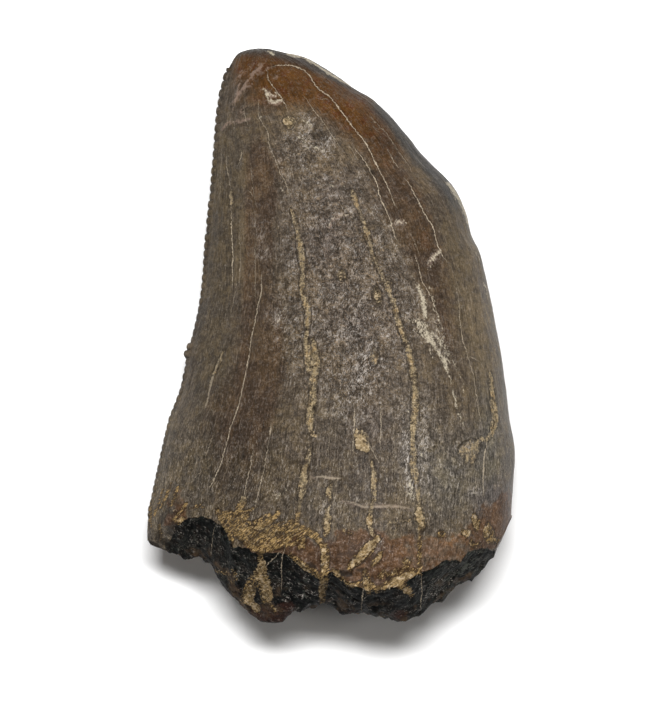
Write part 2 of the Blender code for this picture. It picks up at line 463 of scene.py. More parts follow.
def row_distances(columns, store, upper):
    """Distance over the surface from the rear edge, for every row that the columns share."""
    grid = np.stack([c[::RATIO] if len(c) > ROWS + 1 else c for c in columns])
    p = co[grid]
    s = np.concatenate(
        [np.zeros((1, p.shape[1])), np.cumsum(np.linalg.norm(np.diff(p, axis=0), axis=2), axis=0)]
    )
    for k, c in enumerate(columns):
        if len(c) > ROWS + 1:
            store[c] = np.interp(np.arange(len(c)) / RATIO, np.arange(ROWS + 1), s[k])
        else:
            store[c] = s[k]
    return s[-1]


WIDTH_UP = row_distances(UP, ACROSS, True)
WIDTH_UN = row_distances(UN, ACROSS_UN, False)
for columns in (UP, UN):
    for c in columns:
        p = co[c]
        FROM_RIM[c] = np.concatenate(
            [[0.0], np.cumsum(np.linalg.norm(np.diff(p, axis=0), axis=1))]
        )

# a seamless wrap of the enamel: round the crown and along it
share = np.zeros(len(co))
for columns, store, sign in ((UN, ACROSS_UN, -1), (UP, ACROSS, 1)):
    for c in columns:
        rows = np.linspace(0, ROWS, len(c))
        girth = np.interp(rows, np.arange(ROWS + 1), WIDTH_UP + WIDTH_UN)
        share[c] = sign * store[c] / np.maximum(girth, 1e-6)
WRAP_R = 10.5
WRAP = np.stack(
    [
        WRAP_R * np.cos(2 * np.pi * share),
        WRAP_R * np.sin(2 * np.pi * share),
        V * REAR[1][-1],
    ],
    axis=1,
)
WRAP[~enamel] = co[~enamel]

# drawing coordinates of every point, before any relief
PX = co[:, 0] * UNITS_PER_MM + DRAWING_MID[0]
PY = DRAWING_MID[1] - co[:, 1] * UNITS_PER_MM
UPPER = enamel & (SIDE > 0)
UNDER = enamel & (SIDE < 0)


# ------------------------------------------------------------ marks
# Cracks of the upper face: points on the drawing, half width in mm, strength.
CRACKS = [
    # near the apex, pale and thin
    ([(268, 66), (283, 64.5), (297, 66), (309, 74), (319, 88), (332, 98), (346, 116), (356, 130), (365, 141), (371, 152), (379, 169), (384, 178), (388, 186), (391, 193), (393, 200), (398, 209)], 0.042, 0.95),
    ([(267.5, 67), (268, 79), (275, 89), (281, 97), (286, 106), (288, 114)], 0.036, 0.85),
    ([(301, 93), (308, 102), (315, 112), (322, 120), (329, 131), (335, 140), (343, 151)], 0.034, 0.55),
    ([(352, 144), (357, 151), (363, 158), (369, 166), (371, 171), (375, 178), (378, 186), (378, 191), (381, 199), (385, 208), (389, 218), (392, 227), (395, 236), (398, 244)], 0.042, 0.9),
    ([(344, 139), (350, 147), (356, 156), (361, 163)], 0.026, 0.45),
    ([(259, 98), (257.5, 112), (259, 117), (264, 126), (268, 132), (269, 142), (272, 152), (277, 164), (282, 176), (286, 184), (288.5, 194), (289, 206)], 0.034, 0.55),
    ([(243, 103), (243.5, 114), (248, 126), (250, 133)], 0.03, 0.4),
    ([(311, 98.5), (321, 98.3), (331, 99)], 0.024, 0.5),
    ([(386, 146), (390, 152), (393, 159), (397, 165), (401.5, 171.5)], 0.034, 0.7),
    ([(368, 111), (376, 123), (386, 132), (393, 141), (399, 151), (403, 156), (408, 163), (412, 170), (416, 176)], 0.028, 0.5),
    ([(372, 124), (378, 131), (384, 133)], 0.024, 0.4),
    ([(403.5, 177), (409, 184), (414, 193), (420, 204), (425, 214), (430, 222), (434, 229), (436, 238), (440, 251), (449, 264)], 0.042, 0.9),
    ([(410, 230), (414, 240), (418, 250), (421, 259)], 0.026, 0.45),
    ([(414, 252), (419, 265), (421, 275), (424, 284), (428, 291), (432, 299), (435, 308), (437, 318)], 0.036, 0.7),
    ([(448, 262), (455, 274), (460, 290), (463, 304)], 0.026, 0.35),
    ([(411, 150), (420, 160), (429, 170)], 0.022, 0.35),
    # left side
    ([(226, 150), (226, 165), (228, 178), (229, 192)], 0.036, 0.5),
    ([(229, 190), (229.8, 199), (230, 210)], 0.085, 0.7),
    ([(230, 208), (231, 229), (231.6, 245), (231.5, 262), (231, 291)], 0.040, 0.9),
    ([(245, 148), (240.5, 157), (236.5, 168)], 0.03, 0.45),
    ([(239, 147), (242, 153), (239, 161), (243, 171)], 0.028, 0.5),
    ([(250.5, 161), (251, 175), (252.5, 188), (255, 200), (257, 210)], 0.026, 0.5),
    ([(247, 189), (253.8, 196.8)], 0.038, 0.7),
    ([(238.4, 220), (239, 250), (239.5, 265), (238.8, 290)], 0.026, 0.5),
    ([(254.5, 240), (254.5, 262), (255, 278), (254.6, 302)], 0.028, 0.45),
    ([(235.6, 278), (235, 289), (233.5, 298), (231.5, 310), (231, 318)], 0.032, 0.6),
    ([(261.5, 270), (261.3, 289), (259.5, 298), (257, 306), (255.5, 315), (253.5, 325), (251.5, 335), (250, 345), (248.6, 356), (246.5, 368), (243.5, 381), (241.5, 390), (239.5, 400), (237, 409), (234, 418), (230, 430), (226, 444), (220.5, 462), (213.5, 479), (206, 495)], 0.038, 0.85),
    ([(222, 140), (220, 170), (219, 205)], 0.022, 0.3),
    ([(222, 352), (217, 364), (213, 376), (208, 396), (204, 411)], 0.07, 0.4),
    ([(216, 430), (210, 444), (204, 459)], 0.028, 0.4),
    ([(231, 456), (226, 470), (222, 484)], 0.022, 0.3),
    ([(254, 441), (252, 456), (247.5, 477), (244, 496), (240, 510)], 0.030, 0.6),
    ([(271, 423), (270.4, 430), (269.7, 438)], 0.10, 0.6),
    ([(269.7, 436), (266, 455), (262, 474), (259, 489), (254, 507), (250, 521)], 0.034, 0.6),
    ([(188, 485), (195, 477), (204, 469)], 0.028, 0.6),
    ([(269, 497), (275, 494), (281, 490)], 0.038, 0.6),
    # lower middle, thin
    ([(355, 406), (354.4, 416), (354, 430), (353.4, 444), (353, 454)], 0.07, 0.6),
    ([(364, 437), (372, 450), (381.5, 466)], 0.05, 0.55),
    ([(381, 393), (381, 414), (380.5, 434), (380.5, 456)], 0.04, 0.5),
    ([(312, 477), (322, 476.5), (334, 477), (345, 477.5)], 0.10, 0.34),
    ([(341, 500), (350, 501), (364, 506), (380, 505.5), (395, 505), (404, 506.5), (412.5, 509.5)], 0.10, 0.26),
    ([(345, 341), (343, 358), (342, 380)], 0.024, 0.3),
    ([(329, 428), (328, 450), (327, 470)], 0.028, 0.4),
    ([(340, 452), (338.5, 470), (337, 486)], 0.026, 0.4),
    ([(351, 440), (350, 458), (349, 474)], 0.024, 0.35),
    ([(337, 400), (336, 424), (335, 450)], 0.024, 0.3),
    ([(393, 420), (394, 440), (394, 462), (395, 486)], 0.024, 0.35),
    ([(436, 420), (438, 440), (439, 470), (439, 500)], 0.024, 0.35),
    ([(424, 440), (426, 466), (427, 492)], 0.024, 0.3),
    ([(283, 440), (281, 462), (279, 482)], 0.024, 0.3),
    # right side
    ([(457, 282), (459, 300), (460, 318), (464, 343), (470, 360), (475, 380), (478, 403), (482, 426)], 0.032, 0.55),
    ([(462, 358), (470, 357), (476, 359), (482, 364)], 0.03, 0.55),
    ([(489, 437), (486, 450), (484, 463), (484, 480), (484, 497)], 0.055, 0.65),
    ([(466, 470), (466, 486), (467, 505)], 0.028, 0.4),
    ([(475, 470), (476, 488), (476, 500)], 0.034, 0.45),
    # over the broken base
    ([(271, 500), (270, 520), (271, 545)], 0.024, 0.4),
    ([(284, 520), (283, 545), (282, 560), (282, 592)], 0.030, 0.8),
    ([(282, 548), (275, 557), (266, 566), (263, 577)], 0.034, 0.75),
    ([(216, 523), (213, 536), (212, 548), (211, 558)], 0.028, 0.6),
    ([(365, 566), (363.5, 580), (362, 600), (361, 614)], 0.045, 0.85),
    ([(421, 572), (421.5, 590), (420, 611)], 0.036, 0.8),
]
# Veins of tan matrix, wide enough to have crumbs of their own.
VEINS = [
    ([(291, 210), (296, 224), (299, 240)], 0.13, 0.57),
    ([(298, 234), (301, 254), (303, 272)], 0.20, 0.71),
    ([(303, 270), (302, 282), (301, 294)], 0.16, 0.57),
    ([(302, 294), (306.5, 308), (307, 322), (306.5, 334)], 0.16, 0.76),
    ([(306.5, 330), (306, 344), (306.5, 358), (309, 372)], 0.14, 0.80),
    ([(312, 338), (314, 350), (317, 362), (316, 376)], 0.16, 0.80),
    ([(308, 345), (311.5, 356), (313, 369)], 0.23, 0.63),
    ([(313, 366), (313.5, 384), (313, 402), (310, 420), (311, 433)], 0.19, 0.76),
    ([(309, 402), (308.5, 418), (310, 432)], 0.11, 0.63),
    ([(310.5, 432), (315, 435)], 0.13, 0.69),
    ([(310, 448), (308, 460), (304, 472)], 0.16, 0.60),
    ([(304, 468), (302.5, 484), (301, 500)], 0.23, 0.76),
    ([(301, 498), (299, 510), (296, 524)], 0.14, 0.55),
    ([(352, 191), (354, 198), (357, 206)], 0.17, 0.63),
    ([(357, 204), (361, 216), (364, 226)], 0.11, 0.52),
    ([(364, 222), (368, 238), (371, 250)], 0.17, 0.63),
    ([(370, 248), (375, 262), (380, 273)], 0.12, 0.52),
    ([(380, 270), (388, 288), (393, 303)], 0.14, 0.60),
    ([(393, 300), (396, 314), (401.5, 330), (406, 344)], 0.14, 0.78),
    ([(406, 342), (410, 356), (412.5, 370), (414, 386)], 0.17, 0.80),
    ([(414, 382), (415.5, 402), (414, 420), (412.5, 438)], 0.20, 0.80),
    ([(412.5, 436), (413.5, 454), (413.5, 470), (417, 486)], 0.18, 0.76),
    ([(417, 484), (418.5, 498), (419, 508)], 0.13, 0.71),
    ([(419, 526), (419.5, 545), (420, 560), (421, 574)], 0.06, 0.92),
    ([(371.5, 462), (374, 474), (373.7, 486), (373.5, 500)], 0.15, 0.69),
    ([(373.5, 498), (371, 510), (369.5, 522)], 0.11, 0.63),
    ([(331, 484), (328.5, 490), (329.5, 500)], 0.16, 0.71),
    ([(328, 508), (326.5, 520), (326, 534)], 0.20, 0.80),
    ([(230, 190), (230.5, 204)], 0.11, 0.57),
    ([(224, 350), (219, 361), (214, 374)], 0.11, 0.44),
    ([(489.5, 374), (491, 384), (492, 394)], 0.14, 0.80),
    ([(492, 392), (494, 408), (495, 420), (492, 434)], 0.18, 0.90),
    ([(482, 437), (477, 444), (470, 450)], 0.14, 0.60),
    ([(492, 432), (487, 438), (480, 440)], 0.11, 0.69),
    ([(478, 446), (474, 456), (470, 464)], 0.17, 0.53),
    ([(462, 446), (467, 452), (466, 462)], 0.21, 0.48),
    ([(471, 441), (464, 446), (459, 453)], 0.15, 0.46),
    # the fan beside the black chip
    ([(216, 511), (226, 516), (236, 519), (246, 516)], 0.21, 0.86),
    ([(243, 497), (239, 507), (235, 516)], 0.13, 0.80),
    ([(236, 513), (246, 511), (256, 506)], 0.06, 0.60),
    ([(229, 516), (231, 526), (238, 535), (248, 543), (258, 549), (266, 549)], 0.14, 0.85),
    ([(238, 525), (250, 530), (262, 524), (270, 519), (279, 514)], 0.14, 0.75),
    ([(243, 519), (253, 522), (262, 517), (270, 513)], 0.07, 0.55),
    ([(246, 534), (258, 533), (270, 528), (282, 521)], 0.08, 0.70),
    ([(250, 541), (262, 541), (274, 540), (284, 539)], 0.10, 0.75),
    ([(282, 541), (288, 534), (292, 526), (297, 520)], 0.19, 0.78),
    ([(291, 527), (300, 528), (308, 531), (316, 536), (322, 545)], 0.18, 0.85),
    ([(303, 532), (303, 540), (298, 547)], 0.12, 0.62),
    ([(322, 540), (325, 556), (324.5, 572), (323, 586), (322, 602)], 0.19, 0.90),
    ([(256, 546), (260, 556), (261, 567)], 0.13, 0.85),
    ([(261, 565), (264, 578), (268, 590), (264, 600)], 0.24, 0.88),
    ([(260, 570), (251, 581), (246, 592), (243, 602)], 0.19, 0.75),
    ([(245, 598), (252, 603), (258, 611)], 0.20, 0.70),
    ([(256, 576), (257, 585), (262, 594)], 0.14, 0.55),
    ([(289, 554), (297, 560), (305, 566)], 0.12, 0.85),
    ([(305, 565), (313, 570), (321, 577)], 0.16, 0.82),
    ([(271, 605), (275, 611)], 0.12, 0.55),
    ([(207, 569), (222, 572), (236, 575)], 0.08, 0.34),
    ([(233, 570), (236, 576), (233, 582)], 0.12, 0.45),
    ([(217, 514), (222, 522), (228, 531), (232, 541)], 0.10, 0.90), ([(238, 524), (240, 534), (247, 542), (256, 548)], 0.16, 1.0),
    ([(241, 516), (242, 524), (248, 530), (257, 531)], 0.12, 1.0), ([(244, 528), (256, 528), (266, 524), (273, 518), (278, 511)], 0.11, 1.0),
    ([(248, 534), (262, 535), (274, 532), (285, 526), (292, 520)], 0.10, 1.0), ([(252, 539), (266, 539), (280, 536), (290, 530)], 0.10, 0.95),
    ([(256, 544), (268, 546), (280, 544), (289, 538), (293, 533)], 0.12, 1.0), ([(238, 512), (243, 505), (246, 497)], 0.07, 0.85),
    ([(228, 520), (234, 527), (240, 531)], 0.12, 0.95), ([(222, 512), (231, 513), (240, 519)], 0.09, 0.90),
    ([(296, 531), (301, 539), (303, 546)], 0.10, 0.85), ([(286, 544), (296, 541), (303, 536)], 0.10, 0.80),
    # the right half of the base
    ([(369.5, 518), (371, 530), (376, 539)], 0.12, 0.72),
    ([(377, 538), (371, 545), (365, 551), (357, 559), (350, 566)], 0.27, 0.92),
    ([(380, 552), (377, 558), (373, 564)], 0.17, 0.75),
    ([(332, 569), (338, 573), (343, 578)], 0.17, 0.85),
    ([(349, 586), (358, 583), (368, 584), (377, 588)], 0.16, 0.80),
    ([(365, 570), (366.5, 580), (368.5, 592)], 0.20, 0.78),
    ([(376, 590), (388, 583), (398, 579), (408, 574)], 0.17, 0.85),
    ([(396, 573), (399, 583), (407, 588), (411, 594)], 0.20, 0.80),
    ([(405, 572), (412, 571), (420, 573)], 0.13, 0.80),
    ([(401, 570), (406, 566), (411, 561)], 0.10, 0.55),
    ([(384, 570), (390, 574), (396, 573)], 0.12, 0.55),
    ([(418, 507), (419, 518), (420, 529)], 0.27, 0.85),
    ([(421, 520), (425, 527)], 0.15, 0.55),
    ([(386, 523), (398, 521), (410, 519)], 0.09, 0.46),
    ([(388, 530), (400, 529), (412, 531)], 0.08, 0.36),
    ([(474.5, 515), (476.5, 521), (477, 528)], 0.17, 0.95),
    ([(462, 531), (466, 533), (470, 532)], 0.12, 0.75),
    ([(487, 524), (487, 531), (486, 538)], 0.09, 0.75),
    ([(489, 525), (492, 532), (493, 540)], 0.14, 0.75),
    ([(486, 538), (492, 541), (498, 540)], 0.12, 0.62),
    ([(471, 541), (475, 546), (480, 543)], 0.12, 0.45),
    ([(440, 531), (444, 534)], 0.10, 0.50),
    ([(339, 524), (345, 531), (352, 534)], 0.08, 0.35),
    # tan fibres of the rear corner
    ([(172, 483), (167, 495), (160, 508)], 0.07, 0.68),
    ([(178, 486), (174, 497), (170, 507)], 0.06, 0.60),
    ([(163, 488), (158, 502), (153, 516)], 0.06, 0.60),
    ([(185, 503), (181, 510), (176, 516)], 0.07, 0.75),
    ([(174, 519), (178, 522), (181, 519)], 0.13, 0.83),
    ([(150, 500), (149.5, 514), (150, 528)], 0.07, 0.51),
    ([(158, 522), (161, 533), (160, 541)], 0.06, 0.51),
    ([(188, 508), (196, 505), (203, 506)], 0.06, 0.45),
]
# Bruises: fine white scratches, mostly in a swarm right of the middle.
BRUISES = [
    ([(263, 88), (266, 92), (271, 94), (276, 93)], 0.09, 0.75), ([(267, 95), (269, 100), (275, 102), (281, 100)], 0.11, 0.85), ([(278, 95), (282, 98)], 0.08, 0.6),
    ([(267, 91), (272, 95), (277, 97)], 0.08, 0.75), ([(270, 98), (275, 103), (281, 100)], 0.08, 0.75),
    ([(311, 145), (318, 149), (325, 151)], 0.09, 0.6), ([(302, 119), (308, 122), (312, 126)], 0.09, 0.6),
    ([(418, 287), (421, 292), (423, 299), (424, 308), (425, 317)], 0.17, 0.9),
    ([(412, 276), (417, 284)], 0.07, 0.5),
    ([(429, 288), (433, 300), (434, 312)], 0.05, 0.45),
    ([(433, 318), (437, 330), (441, 338)], 0.05, 0.5),
    ([(436, 336), (446, 350), (453, 362)], 0.06, 0.55),
    ([(443, 338), (440, 346), (446, 356)], 0.05, 0.5),
    ([(413, 330), (421, 334), (427, 341)], 0.05, 0.5),
    ([(409, 320), (418, 322), (428, 327)], 0.12, 0.85),
    ([(419, 325), (430, 340), (437, 350)], 0.17, 0.9),
    ([(437, 348), (443, 360), (448, 372)], 0.12, 0.85),
    ([(438, 340), (446, 352), (450, 366)], 0.06, 0.5),
    ([(448, 374), (452, 386), (456, 402), (460, 416), (464, 428)], 0.05, 0.6),
    ([(427, 330), (436, 336), (445, 340)], 0.08, 0.5),
    ([(424, 336), (430, 350), (434, 360)], 0.05, 0.45),
    ([(431, 290), (436, 310), (444, 338), (452, 360), (461, 377)], 0.045, 0.5),
    ([(461, 374), (464, 384), (463, 396)], 0.04, 0.45),
    ([(429, 263), (434, 257), (441, 250)], 0.10, 0.8),
    ([(428, 270), (434, 262)], 0.06, 0.5),
    ([(391, 225), (398, 222), (406, 222)], 0.09, 0.7),
    ([(232, 118), (234, 128)], 0.04, 0.35),
    ([(257, 117), (261, 117)], 0.07, 0.7),
    ([(298, 136), (304, 142), (308, 150)], 0.09, 0.5),
    ([(328, 228), (332, 220), (341, 215), (350, 216), (355, 221)], 0.06, 0.5),
    ([(330, 186), (334, 186)], 0.09, 0.5),
    ([(343, 186), (345, 187)], 0.08, 0.45),
    ([(312, 174), (317, 178)], 0.09, 0.45),
    ([(264, 187), (272, 184), (281, 189), (284, 194)], 0.04, 0.4),
    ([(274, 319), (280, 312), (288, 305)], 0.06, 0.5),
    ([(270, 323), (276, 322), (282, 318)], 0.05, 0.4),
    ([(281, 303), (286, 310), (287, 318)], 0.05, 0.35),
    ([(315, 332), (320, 330), (325, 333)], 0.05, 0.35),
    ([(409, 478), (411, 488), (414, 497)], 0.10, 0.75),
    ([(408, 492), (411, 500)], 0.06, 0.5),
    ([(409, 404), (408, 420), (408, 440)], 0.045, 0.4),
    ([(419, 440), (421, 456), (421, 474)], 0.045, 0.35),
    ([(320, 497), (325, 505), (328, 509)], 0.06, 0.55),
    ([(315, 503), (321, 507)], 0.05, 0.4),
    ([(274, 500), (280, 494), (287, 489)], 0.08, 0.45),
    ([(471, 488), (476, 495)], 0.06, 0.4),
    ([(470, 497), (476, 490)], 0.05, 0.35),
    ([(375, 538), (384, 545), (390, 550)], 0.05, 0.4),
    ([(398, 515), (401, 507)], 0.05, 0.35),
    ([(452, 184), (455, 193), (457, 199)], 0.08, 0.45),
    ([(448, 183), (455, 191), (460.5, 202)], 0.13, 0.75),
    ([(460, 199), (465, 209), (468.5, 221)], 0.13, 0.75),
    ([(467, 217), (471, 227), (475, 237)], 0.11, 0.7),
    ([(476, 252), (479, 260)], 0.06, 0.45),
    ([(484, 280), (488, 296)], 0.06, 0.4),
    ([(268, 50.5), (274, 53)], 0.11, 0.9),
    ([(287, 52.8), (294, 54.8), (301, 56.2)], 0.13, 0.85),
    ([(304, 57.0), (312, 61.6), (320, 66.2)], 0.10, 0.9),
    ([(321, 66.8), (331, 72.6), (339, 77.2)], 0.09, 0.9),
    ([(339, 77.8), (347, 82.2), (355, 86.8)], 0.07, 0.75),
    ([(247, 69), (253, 66)], 0.08, 0.35),
    ([(238, 577), (242, 574)], 0.10, 0.5),
    ([(195, 540), (199, 544)], 0.07, 0.35),
]
# Soft spots: x, y, half sizes, turn in degrees, strength.
TAN_SPOTS = [
    (289, 121, 6, 4, 0, 0.75), (289.5, 125, 3.5, 3.5, 0, 0.7), (341.6, 275, 5, 5, 0, 0.48),
    (377, 296, 4.5, 9, -10, 0.58), (361, 440, 5.5, 10, 18, 0.66), (365, 447, 5, 5, 30, 0.7),
    (359, 434, 4, 4, 0, 0.55), (374, 357, 5, 8, 0, 0.36), (388, 284, 4, 7, -20, 0.42),
    (440, 533, 3, 3, 0, 0.5), (404, 576, 4, 4, 0, 0.8), (398, 580, 5, 4, 20, 0.8),
    (381, 575, 3, 3, 0, 0.5), (420, 514, 3.5, 9, 0, 0.75), (354, 196, 3, 6, -20, 0.4),
    (470, 449, 11, 8, -30, 0.52), (233, 519, 5, 4, 0, 0.4), (250, 538, 8, 4, 20, 0.4),
    (296, 525, 4, 5, 0, 0.6), (263, 584, 4, 8, -10, 0.6), (405, 560, 3, 3, 0, 0.4),
    (300, 530, 13, 3.0, 10, 0.50), (286, 534, 6, 5, -50, 0.34), (262, 546, 9, 3.0, 20, 0.52), (245, 531, 5, 4.5, 40, 0.70),
    (236, 521, 7, 4, 20, 0.40), (226, 515, 8, 3, 15, 0.36), (256, 523, 12, 4, -20, 0.24), (270, 531, 14, 5, -10, 0.26),
]
CLAY_SPOTS = [
    (288, 123, 5.0, 2.6, 14, 0.9), (285, 121, 2.8, 3.4, 0, 0.7), (360.5, 442, 5.2, 8.5, 14, 0.95),
    (356, 434, 2.4, 6, 10, 0.7), (366, 449, 4, 4, 30, 0.8), (342, 276, 4.5, 5.5, 0, 0.42),
    (377, 296, 4.2, 9, -10, 0.46), (475.5, 521, 3.0, 6.6, -10, 1.2), (466, 532.5, 4.2, 2.8, 0, 1.1),
    (487, 532, 4.0, 7.0, 0, 0.75), (494, 540, 5.0, 3.0, 20, 0.65), (471.5, 543, 4, 3, 0, 0.5),
    (443, 533, 2.6, 2.6, 0, 0.5), (180.5, 519.5, 4.2, 2.6, -20, 0.85), (175, 512, 2.4, 4.5, -20, 0.5),
    (327, 526, 3.6, 8, 0, 0.8), (369.5, 520, 3.6, 8, 0, 0.72), (419, 515, 4.0, 9, -6, 0.85),
    (422, 524, 5.0, 3.0, 30, 0.7), (370, 545, 7.5, 4.4, -46, 0.95), (362, 554, 7.5, 4.6, -46, 0.95),
    (354, 562, 5.5, 3.6, -46, 0.9), (377, 538, 4, 3.6, 0, 0.8), (378, 557, 4.6, 2.8, -50, 0.8),
    (337, 573, 5.6, 2.8, 45, 0.85), (350, 583, 8, 3.4, 10, 0.6), (366, 583, 3.6, 9, -10, 0.7),
    (388, 586, 10, 3.0, -18, 0.72), (399, 580, 8, 5.5, -25, 0.9), (409, 574, 8, 4.0, -14, 0.85),
    (407, 590, 5, 4.0, 30, 0.8), (396, 569, 5, 3, -40, 0.5), (324, 560, 3.4, 14, 0, 0.8),
    (322, 588, 2.8, 15, 2, 0.85), 
    
    
    (262, 572, 5.0, 13, 6, 1.0), (267, 591, 5.4, 12, -10, 1.0), (250, 594, 5.4, 12, 20, 0.9),
    (256, 607, 6, 4.2, 40, 0.8), (257, 572, 4, 6, 30, 0.6), (274, 609, 2.8, 4, 0, 0.6),
    (233, 575, 3.4, 2.8, 0, 0.45), (304, 566, 9, 2.6, 36, 0.7),
]
DARK_SPOTS = [
    (151, 544, 12, 3.4, 18, 0.8), (160, 520, 4, 10, 15, 0.45), (158, 536, 3, 8, 10, 0.6), (166, 512, 3, 6, 20, 0.5), (172, 528, 6, 8, 10, 0.6), (166, 542, 8, 4, 15, 0.7),
    (318, 136, 7.6, 7.2, 0, 0.40), (388, 143, 9, 8, 40, 0.25), (395, 213, 9, 9, 0, 0.28), (356, 190, 2, 8, -20, 0.3),
    (246, 170, 4, 12, 10, 0.2), (256, 205, 6, 16, 0, 0.2), (305, 206, 4, 7, 20, 0.25), (300, 268, 3, 18, 0, 0.2),
    (330, 210, 8, 3, -35, 0.34), (341, 265, 6, 2, -20, 0.4), (312, 248, 5, 2.5, -30, 0.3), (321, 280, 5, 2, 20, 0.3),
    (331, 310, 3, 7, -10, 0.34), (375, 330, 7, 6, 0, 0.25), (318, 372, 6, 2.5, 20, 0.34), (333, 392, 7, 3, 0, 0.34),
    (296, 372, 7, 4, 10, 0.24), (282, 416, 9, 4, -12, 0.44), (342, 416, 9, 3, -24, 0.44), (301, 463, 16, 5, 6, 0.5), (312, 470, 12, 3, 0, 0.45),
    (275, 462, 9, 4, 0, 0.4), (374, 455, 8, 6, 0, 0.4), (338, 448, 8, 3, 0, 0.42), (358, 459, 12, 4, 0, 0.46), (350, 456, 9, 3, 0, 0.4),
    (404, 206, 6, 3, 30, 0.35), (372, 171, 4, 2.4, 40, 0.6), (440, 262, 4, 5, 0, 0.3), (424, 270, 4, 9, -20, 0.25), (306, 328, 1.6, 1.8, 0, 0.8), (302, 289, 1.5, 4, 0, 0.5),
    (314, 408, 2.0, 5, 0, 0.85), (311, 352, 1.6, 6, 0, 0.6), (313, 392, 1.4, 4, 0, 0.6),
    (427, 530, 9, 4.5, 0, 0.5), (262, 553, 9, 2.5, 12, 0.7), (311, 564, 6, 3.2, 30, 0.7),
    (345, 572, 9, 3.5, 10, 0.8), (373, 578, 2.6, 6, -10, 0.6), (389, 577, 5, 2.6, -25, 0.7),
    (360, 569, 5, 3, 0, 0.6), (240, 541, 3, 4, 0, 0.7), (255, 588, 3, 5, -10, 0.6),
    (278, 548, 8, 2, -12, 0.5), (301, 548, 3, 2, 0, 0.4), (371, 172, 2, 2, 0, 0.5),
    (273, 65, 3, 1.4, 0, 0.5), (302, 93, 1.6, 1.6, 0, 0.4), (479, 549, 5, 2, -20, 0.4),
(258, 77, 2, 8, 32, 0.35), (247, 90, 2, 9, 28, 0.35), (330, 520, 5, 1.6, 0, 0.35),
]


# Frosted or chipped places, painted with small pale flakes as painted glints.
GLINTS = [
    (363, 362, 9, 18, 0, 0.9), (358, 388, 10, 15, 0, 1.0), (369, 345, 6, 10, 0, 0.6), (345, 372, 9, 7, 0, 0.5),
    (406, 446, 5, 26, 0, 1.1), (421, 440, 6, 30, 0, 1.0), (411, 484, 5, 12, -10, 1.2), (424, 470, 5, 20, 0, 0.6),
    (335, 220, 10, 7, -30, 0.8), (346, 217, 9, 5, 20, 0.6), (305, 122, 8, 6, 0, 1.0), (306, 134, 6, 6, 0, 1.0),
    (318, 148, 11, 5, 10, 1.0), (328, 140, 5, 8, 0, 0.8), (378, 214, 5, 9, -20, 0.6), (386, 232, 7, 8, 0, 0.5),
    (322, 343, 9, 8, 0, 0.5), (342, 334, 12, 8, 0, 0.5), (306, 312, 6, 8, 0, 0.4), (276, 318, 8, 7, 0, 0.5),
    (283, 182, 8, 4, 10, 0.4), (300, 168, 8, 8, 0, 0.4), (362, 176, 8, 8, 0, 0.4), (258, 230, 6, 12, 0, 0.4),
    (262, 254, 7, 8, 0, 0.4), (295, 262, 8, 4, 0, 0.5), (350, 300, 10, 14, 0, 0.35), (327, 285, 8, 14, 0, 0.35),
    (400, 262, 8, 10, -20, 0.35), (412, 300, 6, 16, -10, 0.4), (340, 408, 10, 8, 0, 0.5), (366, 410, 8, 10, 0, 0.4),
    (455, 470, 8, 6, 0, 0.5), (452, 476, 4, 8, -20, 0.7), (474, 492, 8, 5, 0, 0.8), (467, 448, 12, 9, -20, 1.0),
    (329, 505, 8, 8, 0, 0.5), (395, 524, 12, 4, 0, 0.4), (270, 92, 7, 4, 20, 0.3), (240, 90, 8, 12, 30, 0.25),
    (440, 340, 10, 22, -25, 0.5), (436, 258, 8, 5, -45, 0.5), (398, 222, 8, 3, 0, 0.5), (375, 545, 10, 8, 0, 0.4),
    (300, 592, 24, 14, 0, 1.2), (345, 600, 22, 9, 0, 0.5), (240, 576, 10, 14, 0, 0.35), (436, 588, 26, 12, -30, 0.6),
]
# Where the enamel is lighter or darker than its neighbourhood, in powers of two.
SHADES = [
    (388, 142, 16, 13, 40, -0.75), (372, 172, 8, 6, 40, -0.4), (240, 470, 36, 50, 0, -0.68), (365, 470, 34, 30, 0, -0.15),
    (437, 320, 18, 28, -20, 0.22), (450, 470, 26, 44, 0, 0.32), (415, 557, 30, 16, -10, 0.68), (444, 545, 26, 12, -15, 0.72),
    (250, 60, 18, 10, 0, -0.18), (290, 330, 22, 60, 0, -0.12), (360, 380, 26, 40, 0, -0.08), (330, 170, 40, 30, 0, 0.08), (335, 300, 30, 50, 0, -0.06), (415, 245, 14, 46, -22, -0.22),
    (480, 320, 14, 70, -8, 0.36), (500, 430, 14, 60, 0, 0.50), (176, 425, 20, 50, 14, 0.48), (412, 455, 16, 40, 0, 0.25), (348, 515, 40, 14, 0, -0.1),
    (195, 470, 16, 40, 15, 0.06), (300, 500, 30, 30, 0, -0.12), (250, 330, 24, 60, 6, -0.10), (225, 130, 16, 50, 5, 0.05),
    (455, 240, 8, 60, -18, -0.12), (285, 140, 20, 40, 0, 0.10),
]
# Raised folds of the worn apex, also painted lighter along each fold as painted highlight and darker just below it as
# painted shade: points on the drawing, half width, height in mm.
FOLDS = [
    ([(222, 129), (227, 123), (240, 120.5), (249, 118.5)], 0.11, 0.055), ([(267, 92), (272, 96), (276, 97)], 0.12, 0.070),
    ([(270, 102), (276, 104), (281, 101)], 0.11, 0.070), ([(264, 71), (258, 75), (252, 79)], 0.12, 0.035),
    ([(252, 66), (246, 70), (241, 75)], 0.11, 0.030), ([(330, 228), (333, 220), (341, 215), (350, 217)], 0.14, 0.045),
    ([(392, 224), (399, 222), (406, 222)], 0.14, 0.045), ([(341, 500), (364, 506), (395, 505), (412, 509)], 0.12, 0.040),
    ([(312, 477), (334, 477), (346, 477)], 0.10, 0.030), ([(429, 264), (434, 257), (441, 250)], 0.16, 0.050),
]


